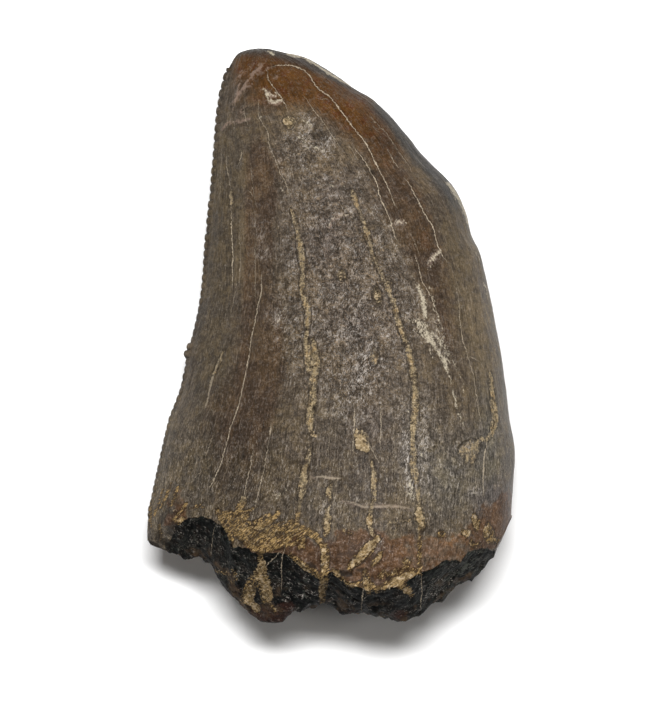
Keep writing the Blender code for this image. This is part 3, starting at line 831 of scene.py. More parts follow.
def spots(rows, softness=0.55):
    """The strongest of the spots at every point of the upper face."""
    out = np.zeros(len(co))
    for x, y, a, b, turn, strength in rows:
        c, s = math.cos(math.radians(turn)), math.sin(math.radians(turn))
        dx, dy = PX - x, PY - y
        along_a = (dx * c + dy * s) / a
        along_b = (-dx * s + dy * c) / b
        r = np.sqrt(along_a**2 + along_b**2)
        out = np.maximum(out, strength * smoothstep(1.0 + softness, 1.0 - softness, r))
    return out


def wander(points, seed, size):
    """A drawn line as a smooth path with small wanderings of its own, in millimetres."""
    path, length = smooth_path(to_mm(points), 8)
    n = max(int(length[-1] / 0.16), 6)
    s = np.linspace(0, length[-1], n)
    p = np.stack([np.interp(s, length, path[:, i]) for i in range(2)], axis=1)
    ahead = np.gradient(p, axis=0)
    ahead /= np.maximum(np.linalg.norm(ahead, axis=1), 1e-9)[:, None]
    q = np.stack([s * 0.9, np.full(n, seed * 3.1), np.zeros(n)], axis=1)
    shift = size * N1(q) + 0.45 * size * N2(q * 3.3)
    return p + shift[:, None] * np.stack([-ahead[:, 1], ahead[:, 0]], axis=1)


def distance_to(path, where, reach):
    """Signed distance from points to a path, and how far along the path they fall; far points are left at reach."""
    lo, hi = path.min(axis=0) - reach, path.max(axis=0) + reach
    near = np.where(((where > lo) & (where < hi)).all(axis=1))[0]
    best = np.full(len(where), reach)
    sign = np.ones(len(where))
    part = np.zeros(len(where))
    n = len(path) - 1
    q = where[near]
    b, sg, pt = np.full(len(near), reach), np.ones(len(near)), np.zeros(len(near))
    for k in range(n):
        a, d = path[k], path[k + 1] - path[k]
        rel = q - a
        t = np.clip((rel @ d) / max(d @ d, 1e-12), 0, 1)
        off = rel - t[:, None] * d
        r = np.sqrt((off**2).sum(axis=1))
        hit = r < b
        b = np.where(hit, r, b)
        sg = np.where(hit, np.sign(d[0] * rel[:, 1] - d[1] * rel[:, 0]), sg)
        pt = np.where(hit, (k + t) / n, pt)
    best[near], sign[near], part[near] = b, sg, pt
    return best * np.where(sign == 0, 1, sign), part


SETS = 11
REACH = 0.75  # mm either side of a crack that its field covers
GAP = 1.25  # two cracks of one set stay this far apart
crack_d = np.full((SETS, len(co)), REACH)
crack_w = np.full((SETS, len(co)), 0.05)
crack_s = np.zeros((SETS, len(co)))


def lay_cracks(rows, mask, wandering):
    """Each crack goes in the first set that has no other crack near it, so that the fields don't cross."""
    laid = [[] for _ in range(SETS)]
    crowded = 0
    index = np.where(mask)[0]
    where = co[index, :2]
    for number, (points, half, strength) in enumerate(rows):
        path = wander(points, number + 1, wandering)
        target = None
        for k in range(SETS):
            if all(
                np.sqrt(((path[:, None] - other[None]) ** 2).sum(axis=2)).min() > GAP
                for other in laid[k]
            ):
                target = k
                break
        if target is None:
            target = number % SETS
            crowded += 1
        laid[target].append(path)
        d, part = distance_to(path, where, REACH)
        length = np.linalg.norm(np.diff(path, axis=0), axis=1).sum()
        end = np.minimum(part, 1 - part) * length
        fade = smoothstep(0.0, 0.5, end) * smoothstep(0.62, 0.45, np.abs(d))
        width = (half if half > 0.05 else 0.8 * half) * (0.45 + 0.55 * smoothstep(0.0, min(1.6, length / 2), end))
        nearer = np.abs(d) < np.abs(crack_d[target, index])
        hit = index[nearer]
        crack_d[target, hit] = d[nearer]
        crack_w[target, hit] = width[nearer]
        crack_s[target, hit] = (strength * fade)[nearer]
    print("cracks laid:", len(rows), "in crowded places:", crowded)


def lay_strokes(rows, mask, wandering, shift):
    """Brush strokes as one soft mask, highest on each stroke's line."""
    out = np.zeros(len(co))
    index = np.where(mask)[0]
    where = co[index, :2]
    for number, (points, half, strength) in enumerate(rows):
        path = wander(points, number + shift, wandering)
        reach = 2.2 * half + 0.12
        d, part = distance_to(path, where, reach)
        length = np.linalg.norm(np.diff(path, axis=0), axis=1).sum()
        end = np.minimum(part, 1 - part) * length
        thin = 0.55 + 0.45 * smoothstep(0.0, min(1.0, length / 2), end)
        w = half * thin + 0.03
        value = strength * smoothstep(1.9, 0.1, np.abs(d) / w)
        out[index] = np.maximum(out[index], value)
    return out


SEEN = UPPER | ((KIND > 0.5) & (V < 0.55))
VEIN_CORES = [
    (points, 0.34 * half, 0.62 * strength) for points, half, strength in VEINS[:42] if half > 0.08
]
lay_cracks(CRACKS + VEIN_CORES, SEEN, 0.045)

# The hidden face: cracks of the same habit along the crown, from a seed.
rng = np.random.default_rng(5)
hidden, hidden_veins = [], []
for number in range(58):
    u0 = rng.uniform(0.06, 0.95)
    v0 = rng.uniform(0.16, 0.80)
    v1 = min(v0 + rng.uniform(0.06, 0.40), 0.975)
    drift = rng.normal(0, 0.012)
    pts = []
    for k in range(6):
        v = v0 + (v1 - v0) * k / 5
        x, y = (
            along(REAR, v) * (1 - u0 - drift * k) + along(FRONT, v) * (u0 + drift * k)
        )
        pts.append(
            (x * UNITS_PER_MM + DRAWING_MID[0], DRAWING_MID[1] - y * UNITS_PER_MM)
        )
    if number % 5 == 0:
        hidden_veins.append((pts, rng.uniform(0.10, 0.18), rng.uniform(0.45, 0.7)))
    else:
        half = rng.choice([0.024, 0.03, 0.036, 0.045])
        hidden.append((pts, half, rng.uniform(0.4, 0.9)))
lay_cracks(hidden, UNDER, 0.05)


# ------------------------------------------------------------ zones of colour
def band(x, a, b, c, d):
    return smoothstep(a, b, x) * smoothstep(d, c, x)


def blob(x, y, a, b, turn=0.0):
    c, s = math.cos(math.radians(turn)), math.sin(math.radians(turn))
    dx, dy = PX - x, PY - y
    return np.exp(-(((dx * c + dy * s) / a) ** 2) - (((-dx * s + dy * c) / b) ** 2))


zone = {}
wob = 0.05 * N1.fbm(WRAP * np.array([0.10, 0.10, 0.06]), 3)
uu = U + wob
up = UPPER.astype(float)
zone["amber"] = np.clip(
    blob(345, 105, 62, 24, 42)
    + 0.9 * blob(300, 78, 42, 18, 15)
    + 0.18 * blob(392, 175, 20, 44, -32)
    + 0.55 * blob(285, 84, 26, 20, 0)
    + 0.50 * blob(246, 74, 22, 22, 0)
    + 0.30 * blob(266, 104, 26, 18, 0)
    + 0.6 * blob(256, 60, 22, 12, 0)
    + 0.30 * blob(428, 240, 12, 40, -20),
    0, 1,
)
zone["umber"] = np.clip(
    0.72 * band(uu, 0.15, 0.21, 0.27, 0.34) * band(PY, 120, 160, 400, 470)
    + 0.8 * blob(268, 170, 20, 26) + 0.7 * blob(272, 205, 6, 16)
    + 0.6 * blob(225, 400, 18, 50, 20)
    + 0.5 * blob(238, 92, 16, 30, 15)
    + 0.75 * blob(392, 185, 24, 52, -30)
    + 0.95 * blob(418, 235, 20, 66, -22)
    + 0.6 * blob(445, 330, 14, 60, -12)
    + 0.5 * blob(275, 90, 24, 20)
    + 0.6 * blob(236, 450, 30, 60, 12)
    + 0.7 * blob(388, 144, 16, 12, 40),
    0, 1,
)
zone["olive"] = np.clip(
    band(uu, -0.2, -0.1, 0.12, 0.19) * smoothstep(90, 140, PY)
    + 0.9 * smoothstep(0.86, 0.93, uu) * smoothstep(190, 250, PY) * smoothstep(500, 450, PY)
    + 0.6 * blob(320, 500, 90, 34)
    + 0.5 * blob(330, 420, 60, 40),
    0, 1,
)
zone["frost"] = np.clip(
    1.0 * blob(330, 240, 52, 95, -8)
    + 0.9 * blob(352, 360, 46, 70)
    + 0.6 * blob(300, 140, 30, 30)
    + 0.6 * blob(395, 300, 26, 70, -15)
    + 0.45 * blob(290, 330, 24, 60)
    + 0.45 * blob(420, 440, 30, 60),
    0, 1,
)
zone["purple"] = np.clip(
    smoothstep(0.82, 0.92, uu) * band(PY, 470, 500, 530, 560)
    + 0.6 * blob(330, 230, 40, 70) + 0.5 * blob(360, 330, 40, 60)
    + 0.5 * blob(190, 350, 10, 60, 8)
    + 0.4 * blob(380, 420, 30, 40),
    0, 1,
)
line_low = np.interp(
    PX,
    [140, 158, 168, 182, 196, 230, 262, 290, 310, 335, 380, 430, 455, 490, 510],
    [566, 540, 500, 504, 528, 552, 541, 534, 533, 533, 535, 534, 529, 502, 492],
)
zone["red"] = smoothstep(-16, 14, PY - line_low + 16 * N2.fbm(co * 0.5, 3) + 10 * N1.fbm(co * 1.5, 2)) * up
zone["red"] *= 1 - 0.38 * smoothstep(380, 420, PX) * smoothstep(500, 470, PX)
# raised folds: painted highlight along each fold, painted shade along a copy shifted down and to the right
fold = np.zeros(len(co))
fold_low = np.zeros(len(co))
for points, half, rise in FOLDS:
    fold = np.maximum(fold, rise / 0.07 * lay_strokes([(points, half, 1.0)], UPPER, 0.02, 900))
    below = [(x + 3.0, y + 3.5) for x, y in points]
    fold_low = np.maximum(fold_low, rise / 0.07 * lay_strokes([(below, 0.8 * half, 1.0)], UPPER, 0.02, 900))
c40, s40 = math.cos(math.radians(50)), math.sin(math.radians(50))
lie = np.stack([0.6 * (co[:, 0] * c40 + co[:, 1] * s40), 2.9 * (co[:, 1] * c40 - co[:, 0] * s40), co[:, 2]], axis=1)
ridge = N1.fbm(lie + 0.5 * N2.fbm(co * 0.9, 2)[:, None], 2)
area_of = up * np.clip(
    1.2 * blob(247, 82, 12, 19, 25) + 1.0 * blob(262, 72, 13, 7, -20) + 0.7 * blob(238, 104, 7, 14, 15)
    + 0.5 * blob(276, 76, 8, 6, 0), 0, 1,
)
zone["folded"] = area_of * ridge
zone["cool"] = up * np.clip(blob(450, 478, 34, 46) + 0.9 * blob(488, 450, 14, 56) + 0.4 * blob(412, 440, 20, 60), 0, 1)
# the folded apex: painted highlight on the ridges of the noise, painted shade in its troughs
fold = np.maximum(fold, 1.0 * area_of * smoothstep(-0.02, 0.34, ridge))
fold_low = np.maximum(fold_low, 0.7 * area_of * smoothstep(-0.04, -0.40, ridge))
zone["fold"], zone["fold_low"] = np.clip(fold, 0, 1), np.clip(fold_low - fold, 0, 1)
# where the painted glints go
zone["glint"] = spots(GLINTS, 0.8)
zone["clay"] = spots(CLAY_SPOTS, 0.35)
shade = -0.32 * smoothstep(0.20, 0.08, uu) * smoothstep(110, 190, PY) * smoothstep(500, 420, PY)
for x, y, a, b, turn, value in SHADES:
    shade = shade + value * blob(x, y, a, b, turn)
zone["shade"] = shade * up
zone["rimgrey"] = np.clip(
    smoothstep(0.925, 0.965, U + 0.3 * wob) * band(PY, 96, 118, 195, 235)
    + 0.45 * smoothstep(0.90, 0.95, U + 0.3 * wob) * band(PY, 60, 75, 110, 130)
    + 0.9 * smoothstep(12, 3, PY - 47 - np.clip(PX - 270, 0, 400) * 0.40) * smoothstep(108, 90, PY)
    + 0.5 * smoothstep(0.06, 0.01, U) * smoothstep(120, 90, PY),
    0, 1,
)
zone["tan"] = np.maximum(lay_strokes(VEINS, SEEN, 0.05, 200), spots(TAN_SPOTS))
zone["white"] = lay_strokes(BRUISES, SEEN, 0.05, 400)
zone["dark"] = spots(DARK_SPOTS, 0.4)
# Enamel still covers the break at its two corners; rust brown knobs low on it.
zone["skin"] = np.clip(
    smoothstep(183, 172, PX + 0.5 * np.clip(PY - 524, 0, 60) + 4 * N2.fbm(co * 0.9, 3)) * smoothstep(555, 546, PY + 3 * N2.fbm(co * 1.1 + 4, 2))
    + smoothstep(-4, 4, PX - (503 - 0.75 * (PY - 528)) + 4 * N2.fbm(co * 0.9, 3)) * smoothstep(556, 544, PY),
    0, 1,
)
zone["rust"] = np.clip(
    blob(273, 614, 17, 11) + blob(288, 608, 8, 8) + blob(258, 612, 8, 7) + blob(399, 615, 11, 7)
    + 0.7 * blob(350, 612, 8, 5) + 0.5 * blob(330, 600, 8, 5) + 0.6 * blob(238, 590, 6, 10, -30),
    0, 1,
)
zone["fibre"] = np.clip(
    blob(455, 575, 34, 16, -35) + blob(482, 555, 20, 12, -45) + 0.6 * blob(232, 572, 14, 12)
    + 0.5 * blob(190, 545, 24, 8, 10), 0, 1,
)

# The hidden face carries the same kinds of zone in other places.
for name, at, size, level in (
    ("amber", 0.8, 3.1, 0.6), ("umber", 0.7, 7.7, 0.5), ("olive", 0.5, 11.3, 0.55),
    ("frost", 0.45, 15.9, 0.6), ("purple", 0.6, 21.1, 0.5),
):
    field = N3.fbm(co * np.array([0.16, 0.07, 0.16]) * (0.8 + at) + size, 3)
    other = level * smoothstep(-0.1, 0.5, field)
    if name == "amber":
        other = np.maximum(other * smoothstep(0.55, 0.75, V), 0.8 * smoothstep(0.86, 0.95, V))
    if name == "olive":
        other = np.maximum(other, smoothstep(0.17, 0.08, U))
    zone[name] = np.where(SIDE < 0, other, zone[name])
sprinkle = N2.cells(co * np.array([0.42, 0.24, 0.42]) + 3.0)
low_matrix = smoothstep(2.2, 0.2, FROM_RIM + 1.2 * N2.fbm(co * 0.8, 3)) * smoothstep(-0.1, 0.2, N3(co * 0.6))
zone["tan"] = np.where(
    SIDE < 0,
    np.maximum(
        np.maximum(lay_strokes(hidden_veins, UNDER, 0.06, 600), 0.8 * low_matrix),
        0.6 * smoothstep(0.30, 0.12, sprinkle[0]) * (N1(co * 0.4) > 0.15),
    ),
    zone["tan"],
)
zone["white"] = np.where(
    SIDE < 0, 0.6 * smoothstep(0.05, 0.0, np.abs(N3(co * 0.45 + 9))) * smoothstep(0.25, 0.5, N1(co * 0.3 + 4)), zone["white"]
)
zone["dark"] = np.where(SIDE < 0, 0.0, zone["dark"])
zone["shade"] = np.where(SIDE < 0, 0.35 * N1.fbm(co * 0.22 + 3.0, 3), zone["shade"])
# painted glints of the hidden face
zone["glint"] = np.where(SIDE < 0, 0.8 * smoothstep(0.1, 0.45, N3.fbm(co * 0.4 + 5.0, 3)), zone["glint"])
zone["clay"] = np.where(
    SIDE < 0, 0.8 * smoothstep(0.24, 0.10, sprinkle[0]) * (N1(co * 0.4) > 0.15), zone["clay"]
)
zone["red"] = np.where(
    SIDE < 0, smoothstep(3.0, 1.0, FROM_RIM + 1.2 * N2.fbm(co * 0.5, 3)), zone["red"]
)
# and so does the hidden part of the break
deep = (KIND > 0.5) & (V >= 0.5)
zone["tan"] = np.where(
    deep, 0.85 * smoothstep(0.12, 0.03, np.abs(N1.fbm(co * np.array([0.30, 0.0, 0.30]) + 2.0, 3))), zone["tan"]
)
zone["clay"] = np.where(deep, 0.7 * smoothstep(0.30, 0.48, N1.fbm(co * 0.35 + 12.0, 3)), zone["clay"])
# painted glints of the hidden break
zone["glint"] = np.where(deep, 0.4, zone["glint"])
zone["shade"] = np.where(deep, 0.0, zone["shade"])
zone["rust"] = np.where(deep, smoothstep(0.1, 0.5, N2.fbm(co * 0.35 + 6.0, 3)), zone["rust"])
zone["fibre"] = np.where(deep, smoothstep(0.0, 0.4, N3.fbm(co * 0.3 + 8.0, 3)), zone["fibre"])

# --------------------------------------------------------------- denticles
centres = []
at = DENTICLE_TOP
edge_length = REAR[1][-1]
while at > DENTICLE_LOW:
    part = (DENTICLE_TOP - at) / (DENTICLE_TOP - DENTICLE_LOW)
    centres.append(at)
    at -= (
        DENTICLE_PITCH_APEX + (DENTICLE_PITCH_BASE - DENTICLE_PITCH_APEX) * part
    ) / edge_length
centres = np.array(centres[::-1])
phase = np.interp(V, centres, np.arange(len(centres), dtype=float), left=-0.5, right=len(centres) - 0.5)
whole = np.clip(np.round(phase), 0, len(centres) - 1).astype(int)
off = np.clip(np.abs(phase - whole) * 2, 0, 1)
each = np.random.default_rng(8).uniform(0.72, 1.12, len(centres))
low_part = np.linspace(0, 1, len(centres))
worn = 0.62 + 0.38 * smoothstep(0.35, 0.75, low_part)
each = each * worn
for y, gain in ((349.5, 1.7), (357, 2.2)):
    x, yy = to_mm([(0, y)])[0]
    k = int(np.argmin(np.abs(along(REAR, centres)[:, 1] - yy)))
    each[k] = gain
tall = (
    DENTICLE_HEIGHT_BASE
    + (DENTICLE_HEIGHT_APEX - DENTICLE_HEIGHT_BASE) * low_part
) * each
bump_shape = np.clip(1 - off**2.6, 0, 1) ** 0.6
reach_in = np.where(SIDE > 0, ACROSS, ACROSS_UN)
near_edge = np.where(enamel, reach_in, 9.0)
on_row = (V > centres[0] - 0.006) & (V < centres[-1] + 0.006) & enamel
den_out = np.where(
    on_row, tall[whole] * (0.38 + 0.62 * bump_shape) * smoothstep(0.62, 0.0, near_edge), 0.0
)
crevice = np.where(on_row, (1 - bump_shape) * smoothstep(0.62, 0.10, near_edge), 0.0)
# the clefts are also painted dark in the colour, as painted shade
zone["den"] = np.clip(crevice * 1.2, 0, 1)

# -------------------------------------------------------------------- relief
face_arr = B.faces


def vertex_normals(points):
    tri = []
    for f in face_arr:
        tri.append((f[0], f[1], f[2]))
        if len(f) == 4:
            tri.append((f[0], f[2], f[3]))
    tri = np.array(tri)
    n = np.cross(points[tri[:, 1]] - points[tri[:, 0]], points[tri[:, 2]] - points[tri[:, 0]])
    out = np.zeros_like(points)
    for k in range(3):
        np.add.at(out, tri[:, k], n)
    return out / np.maximum(np.linalg.norm(out, axis=1), 1e-12)[:, None]


normal = vertex_normals(co)
height = np.zeros(len(co))
height += 0.075 * N1.fbm(co * 0.28, 2)
height += 0.050 * N2.fbm(WRAP * np.array([0.42, 0.42, 0.05]), 2)
height += 0.016 * N3.fbm(WRAP * np.array([2.2, 2.2, 0.5]), 2)
height += (0.010 + 0.026 * zone["frost"]) * N1.fbm(co * 2.7, 3)
pits = N2.cells(co * 1.15)[0]
height -= (0.02 + 0.035 * zone["frost"]) * smoothstep(0.30, 0.12, pits)
height += 0.030 * np.maximum(zone["tan"], zone["clay"]) * (1 + 0.8 * N3(co * 3.0))
height += 0.07 * zone["fold"]
height += 0.06 * zone["folded"]
height -= 0.09 * zone["dark"]
height += 0.02 * zone["white"] * N2(co * 3.3)
for k in range(SETS):
    groove = crack_s[k] * np.exp(-((crack_d[k] / np.maximum(crack_w[k] * 1.3, 0.10)) ** 2))
    height -= 0.045 * groove
# The enamel is chipped back in thin steps beside the break.
chip = N3.fbm(co * np.array([0.9, 0.9, 0.9]), 3)
height -= 0.16 * smoothstep(1.9, 1.2, FROM_RIM + 1.3 * chip) * enamel * band(U, 0.05, 0.14, 0.80, 0.93)
height -= 0.05
fade_tip = smoothstep(1.0, 0.985, V)
height *= np.where(enamel, 0.25 + 0.75 * fade_tip, 0.0)
height *= np.where(enamel, smoothstep(0.0, 0.5, near_edge) * 0.85 + 0.15, 1.0)
moved = co + normal * height[:, None]
# denticles stand out in the plane of the tooth, with a cleft between each two
ahead = along(REAR, np.clip(V + 0.004, 0, 1)) - along(REAR, np.clip(V - 0.004, 0, 1))
ahead /= np.maximum(np.linalg.norm(ahead, axis=1), 1e-9)[:, None]
moved[:, 0] += -ahead[:, 1] * den_out
moved[:, 1] += ahead[:, 0] * den_out
moved -= normal * (0.055 * crevice)[:, None]
# Nothing reaches under the surface it lies on, and the worn line stays flat.
moved[:, 2] = np.where(enamel | (moved[:, 2] < 0.02), np.maximum(moved[:, 2], 0.0), moved[:, 2])
flat = enamel & (co[:, 2] < 0.004)
moved[flat, 2] = 0.0
low_corner, high_corner = (np.array(c) * 1000 for c in cad_box)
moved = np.clip(moved, low_corner + 0.001, high_corner - 0.001)
moved[flat, 2] = 0.0

# ------------------------------------------------------------------ Blender
remap = -np.ones(len(co), int)
remap[used] = np.arange(used.sum())
mesh = bpy.data.meshes.new("tooth_surface")
mesh.from_pydata(
    (moved[used] * 0.001).tolist(), [], [tuple(int(remap[k]) for k in f) for f in B.faces]
)
mesh.update()
tooth = bpy.data.objects.new("tooth_surface", mesh)
bpy.context.scene.collection.objects.link(tooth)


def put(name, kind, values):
    attribute = mesh.attributes.new(name, kind, "POINT")
    field = "vector" if kind == "FLOAT_VECTOR" else "value"
    attribute.data.foreach_set(field, np.ascontiguousarray(values[used], np.float32).ravel())


signed_rim = np.where(enamel, FROM_RIM, 0.0)
cap_depth = np.zeros(len(co))
for k, row in enumerate(CAP[1:-1], 1):
    cap_depth[row] = min(k, len(CAP) - 1 - k) * 0.25
signed_rim = np.where(KIND > 0.5, -np.maximum(cap_depth, 0.1), signed_rim)
put("wrap", "FLOAT_VECTOR", WRAP)
put("zone_a", "FLOAT_VECTOR", np.stack([zone["amber"], zone["olive"], zone["umber"]], axis=1))
put("zone_b", "FLOAT_VECTOR", np.stack([zone["frost"], zone["purple"], zone["red"]], axis=1))
put("zone_c", "FLOAT_VECTOR", np.stack([zone["tan"], zone["white"], zone["dark"]], axis=1))
put("zone_d", "FLOAT_VECTOR", np.stack([signed_rim, zone["rimgrey"], zone["den"]], axis=1))
put("zone_f", "FLOAT_VECTOR", np.stack([zone["shade"], zone["glint"], zone["clay"]], axis=1))
put("zone_g", "FLOAT_VECTOR", np.stack([zone["fold"], zone["fold_low"], zone["cool"]], axis=1))
put("zone_e", "FLOAT_VECTOR", np.stack([zone["skin"], zone["rust"], zone["fibre"]], axis=1))
for k in range(SETS):
    put(f"crack_{k}", "FLOAT_VECTOR", np.stack([crack_d[k], crack_w[k], crack_s[k]], axis=1))

# UV islands: the upper face unrolled from its rear edge, the under face unrolled
# the other way, and the break seen square on.
uv_up = np.stack([ACROSS, co[:, 1]], axis=1)
uv_up[:, 0] += np.interp(V, np.linspace(0, 1, 400), along(REAR, np.linspace(0, 1, 400))[:, 0])
uv_un = np.stack([-ACROSS_UN, co[:, 1]], axis=1)
uv_un[:, 0] -= np.interp(V, np.linspace(0, 1, 400), along(REAR, np.linspace(0, 1, 400))[:, 0])
uv_cap = np.stack([co[:, 0], co[:, 2]], axis=1)
apex_id = UP[-1][-1]
last = np.where((U == 0.5) & (V == 1.0))[0]
uv_up[last] = uv_up[apex_id] + np.array([-0.3, 0.1])
uv_un[last] = uv_un[apex_id] + np.array([0.3, 0.1])


def placed(uv, ids, scale, corner):
    low = uv[ids].min(axis=0)
    return (uv - low) * scale + np.array(corner)


blocks = np.array(B.block)
ids0 = np.unique(np.concatenate([np.array(f) for f, b in zip(B.faces, blocks) if b == 0]))
ids1 = np.unique(np.concatenate([np.array(f) for f, b in zip(B.faces, blocks) if b == 1]))
ids2 = np.unique(np.concatenate([np.array(f) for f, b in zip(B.faces, blocks) if b == 2]))
span0, span1 = np.ptp(uv_up[ids0, 0]), np.ptp(uv_un[ids1, 0])
scale = 0.965 / (span0 + span1)
uv0 = placed(uv_up, ids0, scale, (0.01, 0.01))
uv1 = placed(uv_un, ids1, scale, (0.99 - span1 * scale, 0.01))
top = 0.01 + max(np.ptp(uv_up[ids0, 1]), np.ptp(uv_un[ids1, 1])) * scale + 0.015
scale2 = min((0.99 - top) / np.ptp(uv_cap[ids2, 1]), 0.97 / np.ptp(uv_cap[ids2, 0]))
uv2 = placed(uv_cap, ids2, scale2, (0.02, top))
stack = [uv0, uv1, uv2]
layer = mesh.uv_layers.new(name="OFBake")
flatuv = np.concatenate([stack[b][list(f)] for f, b in zip(B.faces, blocks)])
layer.data.foreach_set("uv", flatuv.astype(np.float32).ravel())
mesh.shade_smooth()
mesh.set_sharp_from_angle(angle=math.radians(42))


# ----------------------------------------------------------------- material
class Nodes:
    def __init__(self, material):
        self.tree = material.node_tree
        self.made = self.tree.nodes
        self.link = self.tree.links.new

    def put(self, socket, value):
        if hasattr(value, "is_output"):
            self.link(value, socket)
        elif value is not None:
            if hasattr(socket.default_value, "__len__") and not hasattr(value, "__len__"):
                value = [value] * len(socket.default_value)
            if hasattr(value, "__len__") and len(value) == 3 and len(socket.default_value) == 4:
                value = (*value, 1.0)
            socket.default_value = value

    def math(self, op, a, b=None, c=None, clamp=False):
        n = self.made.new("ShaderNodeMath")
        n.operation, n.use_clamp = op, clamp
        for socket, value in zip(n.inputs, (a, b, c)):
            self.put(socket, value)
        return n.outputs[0]

    def add(self, a, b):
        return self.math("ADD", a, b)

    def sub(self, a, b):
        return self.math("SUBTRACT", a, b)

    def mul(self, *values):
        out = values[0]
        for v in values[1:]:
            out = self.math("MULTIPLY", out, v)
        return out

    def ramp(self, x, a, b, lo=0.0, hi=1.0):
        n = self.made.new("ShaderNodeMapRange")
        n.interpolation_type = "SMOOTHSTEP"
        for socket, value in zip(n.inputs, (x, a, b, lo, hi)):
            self.put(socket, value)
        return n.outputs[0]

    def line(self, x, a, b, lo=0.0, hi=1.0):
        n = self.made.new("ShaderNodeMapRange")
        n.clamp = True
        for socket, value in zip(n.inputs, (x, a, b, lo, hi)):
            self.put(socket, value)
        return n.outputs[0]

    def mix(self, fac, a, b, blend="MIX"):
        n = self.made.new("ShaderNodeMix")
        n.data_type, n.blend_type, n.clamp_factor = "RGBA", blend, True
        self.put(n.inputs[0], fac)
        self.put(n.inputs[6], a)
        self.put(n.inputs[7], b)
        return n.outputs[2]

    def mapping(self, vector, scale=(1, 1, 1), shift=(0, 0, 0)):
        n = self.made.new("ShaderNodeMapping")
        self.link(vector, n.inputs["Vector"])
        n.inputs["Scale"].default_value = scale
        n.inputs["Location"].default_value = shift
        return n.outputs[0]

    def turned(self, vector, degrees, scale, shift=(0, 0, 0)):
        """The vector turned so that the direction at this angle lies on x, then scaled."""
        n = self.made.new("ShaderNodeMapping")
        self.link(vector, n.inputs["Vector"])
        n.inputs["Rotation"].default_value = (0, 0, math.radians(-degrees))
        return self.mapping(n.outputs[0], scale, shift)

    def noise(self, vector, scale, detail=2.0, rough=0.5, distortion=0.0):
        n = self.made.new("ShaderNodeTexNoise")
        self.link(vector, n.inputs["Vector"])
        n.inputs["Scale"].default_value = scale
        n.inputs["Detail"].default_value = detail
        n.inputs["Roughness"].default_value = rough
        n.inputs["Distortion"].default_value = distortion
        return n.outputs["Fac"]

    def cells(self, vector, scale, feature="F1", randomness=1.0):
        n = self.made.new("ShaderNodeTexVoronoi")
        n.feature = feature
        self.link(vector, n.inputs["Vector"])
        n.inputs["Scale"].default_value = scale
        n.inputs["Randomness"].default_value = randomness
        return n.outputs["Distance"]

    def vector(self, name):
        n = self.made.new("ShaderNodeAttribute")
        n.attribute_name = name
        return n.outputs["Vector"]

    def three(self, name):
        n = self.made.new("ShaderNodeSeparateXYZ")
        self.link(self.vector(name), n.inputs[0])
        return n.outputs[0], n.outputs[1], n.outputs[2]


material = bpy.data.materials.new("fossil_enamel_surface")
material.use_nodes = True
G = Nodes(material)
shader = material.node_tree.nodes["Principled BSDF"]
coords = G.made.new("ShaderNodeTexCoord").outputs["Object"]
pos = G.mapping(coords, (1000, 1000, 1000))  # millimetres
wrap = G.vector("wrap")
amber, olive, umber = G.three("zone_a")
frost, purple, red = G.three("zone_b")
tan, white, dark = G.three("zone_c")
rim, rimgrey, den = G.three("zone_d")
skin, rust, fibre = G.three("zone_e")


def linear(r, g, b):
    """An sRGB tone as seen under this light, as linear albedo."""
    out = []
    for c in (r, g, b):
        c = c / 255
        out.append(0.66 * (c / 12.92 if c <= 0.04045 else ((c + 0.055) / 1.055) ** 2.4))
    return tuple(out)


# tones of the fossil, some also used for painted glints and painted shade
TONE = {
    "body": linear(84, 73, 58),
    "olive": linear(83, 73, 58),
    "umber": linear(72, 58, 44),
    "amber": linear(85, 57, 26),
    "purple": linear(84, 74, 66),
    "red": linear(78, 57, 39),
    "rimgrey": linear(50, 48, 44),
    "black": linear(3, 4, 4),
    "break_brown": linear(24, 17, 12),
    "break_green": linear(25, 29, 26),
    "rust": linear(50, 31, 24),
    "fibre": linear(84, 86, 79),
    "tan": linear(138, 122, 94),
    "ochre": linear(130, 109, 76),
    "gold": linear(131, 108, 71),
    "cream": linear(200, 184, 160),
    "white": linear(192, 181, 159),
    "dark": linear(28, 23, 18),
    "frost": linear(142, 131, 121),
    "fold": linear(146, 125, 111),
    "redbrown": linear(72, 44, 22),
    # pale flakes and painted glints
    "flake_and_glint": linear(184, 176, 168),
    "clay": linear(149, 130, 99),
    "dirt_and_shade": linear(54, 40, 24),
# dark brown of the matrix, also used as painted shade below the folds
}
# the second of these marks the places of painted glints
shade, painted_glint_spots, clay = G.three("zone_f")
fold, fold_low, cool = G.three("zone_g")

n_big = G.noise(pos, 0.35, 3.0, 0.55)
n_mid = G.noise(pos, 1.3, 4.0, 0.6)
n_crumb = G.noise(pos, 3.4, 3.0, 0.6)
n_fine = G.noise(pos, 7.0, 3.0, 0.65)
n_grain = G.noise(pos, 10.0, 2.0, 0.6)
streak_a = G.noise(G.mapping(wrap, (3.4, 3.4, 0.45)), 1.0, 3.0, 0.6)
streak_b = G.noise(G.mapping(wrap, (9.5, 9.5, 0.9), (3, 1, 7)), 1.0, 2.0, 0.65)
streak_c = G.noise(G.mapping(wrap, (1.1, 1.1, 0.10), (9, 4, 2)), 1.0, 3.0, 0.6)
comb = G.noise(G.turned(pos, 66, (1.7, 6.4, 3.0), (6, 1, 2)), 1.0, 3.0, 0.7, 1.5)
dashes = G.noise(G.mapping(wrap, (8.5, 8.5, 3.0), (5, 2, 4)), 1.0, 2.0, 0.65, 1.3)


def centred(x):
    return G.sub(x, 0.5)


def less(x):
    return G.math("SUBTRACT", 1.0, x)


def grainy(tone, terms):
    """The tone times two to the power of the noises, each with its gain."""
    total = None
    for x, gain in terms:
        term = G.mul(x if x in PLAIN else centred(x), gain)
        total = term if total is None else G.add(total, term)
    return G.mix(1.0, tone, G.math("POWER", 2.0, total), "MULTIPLY")


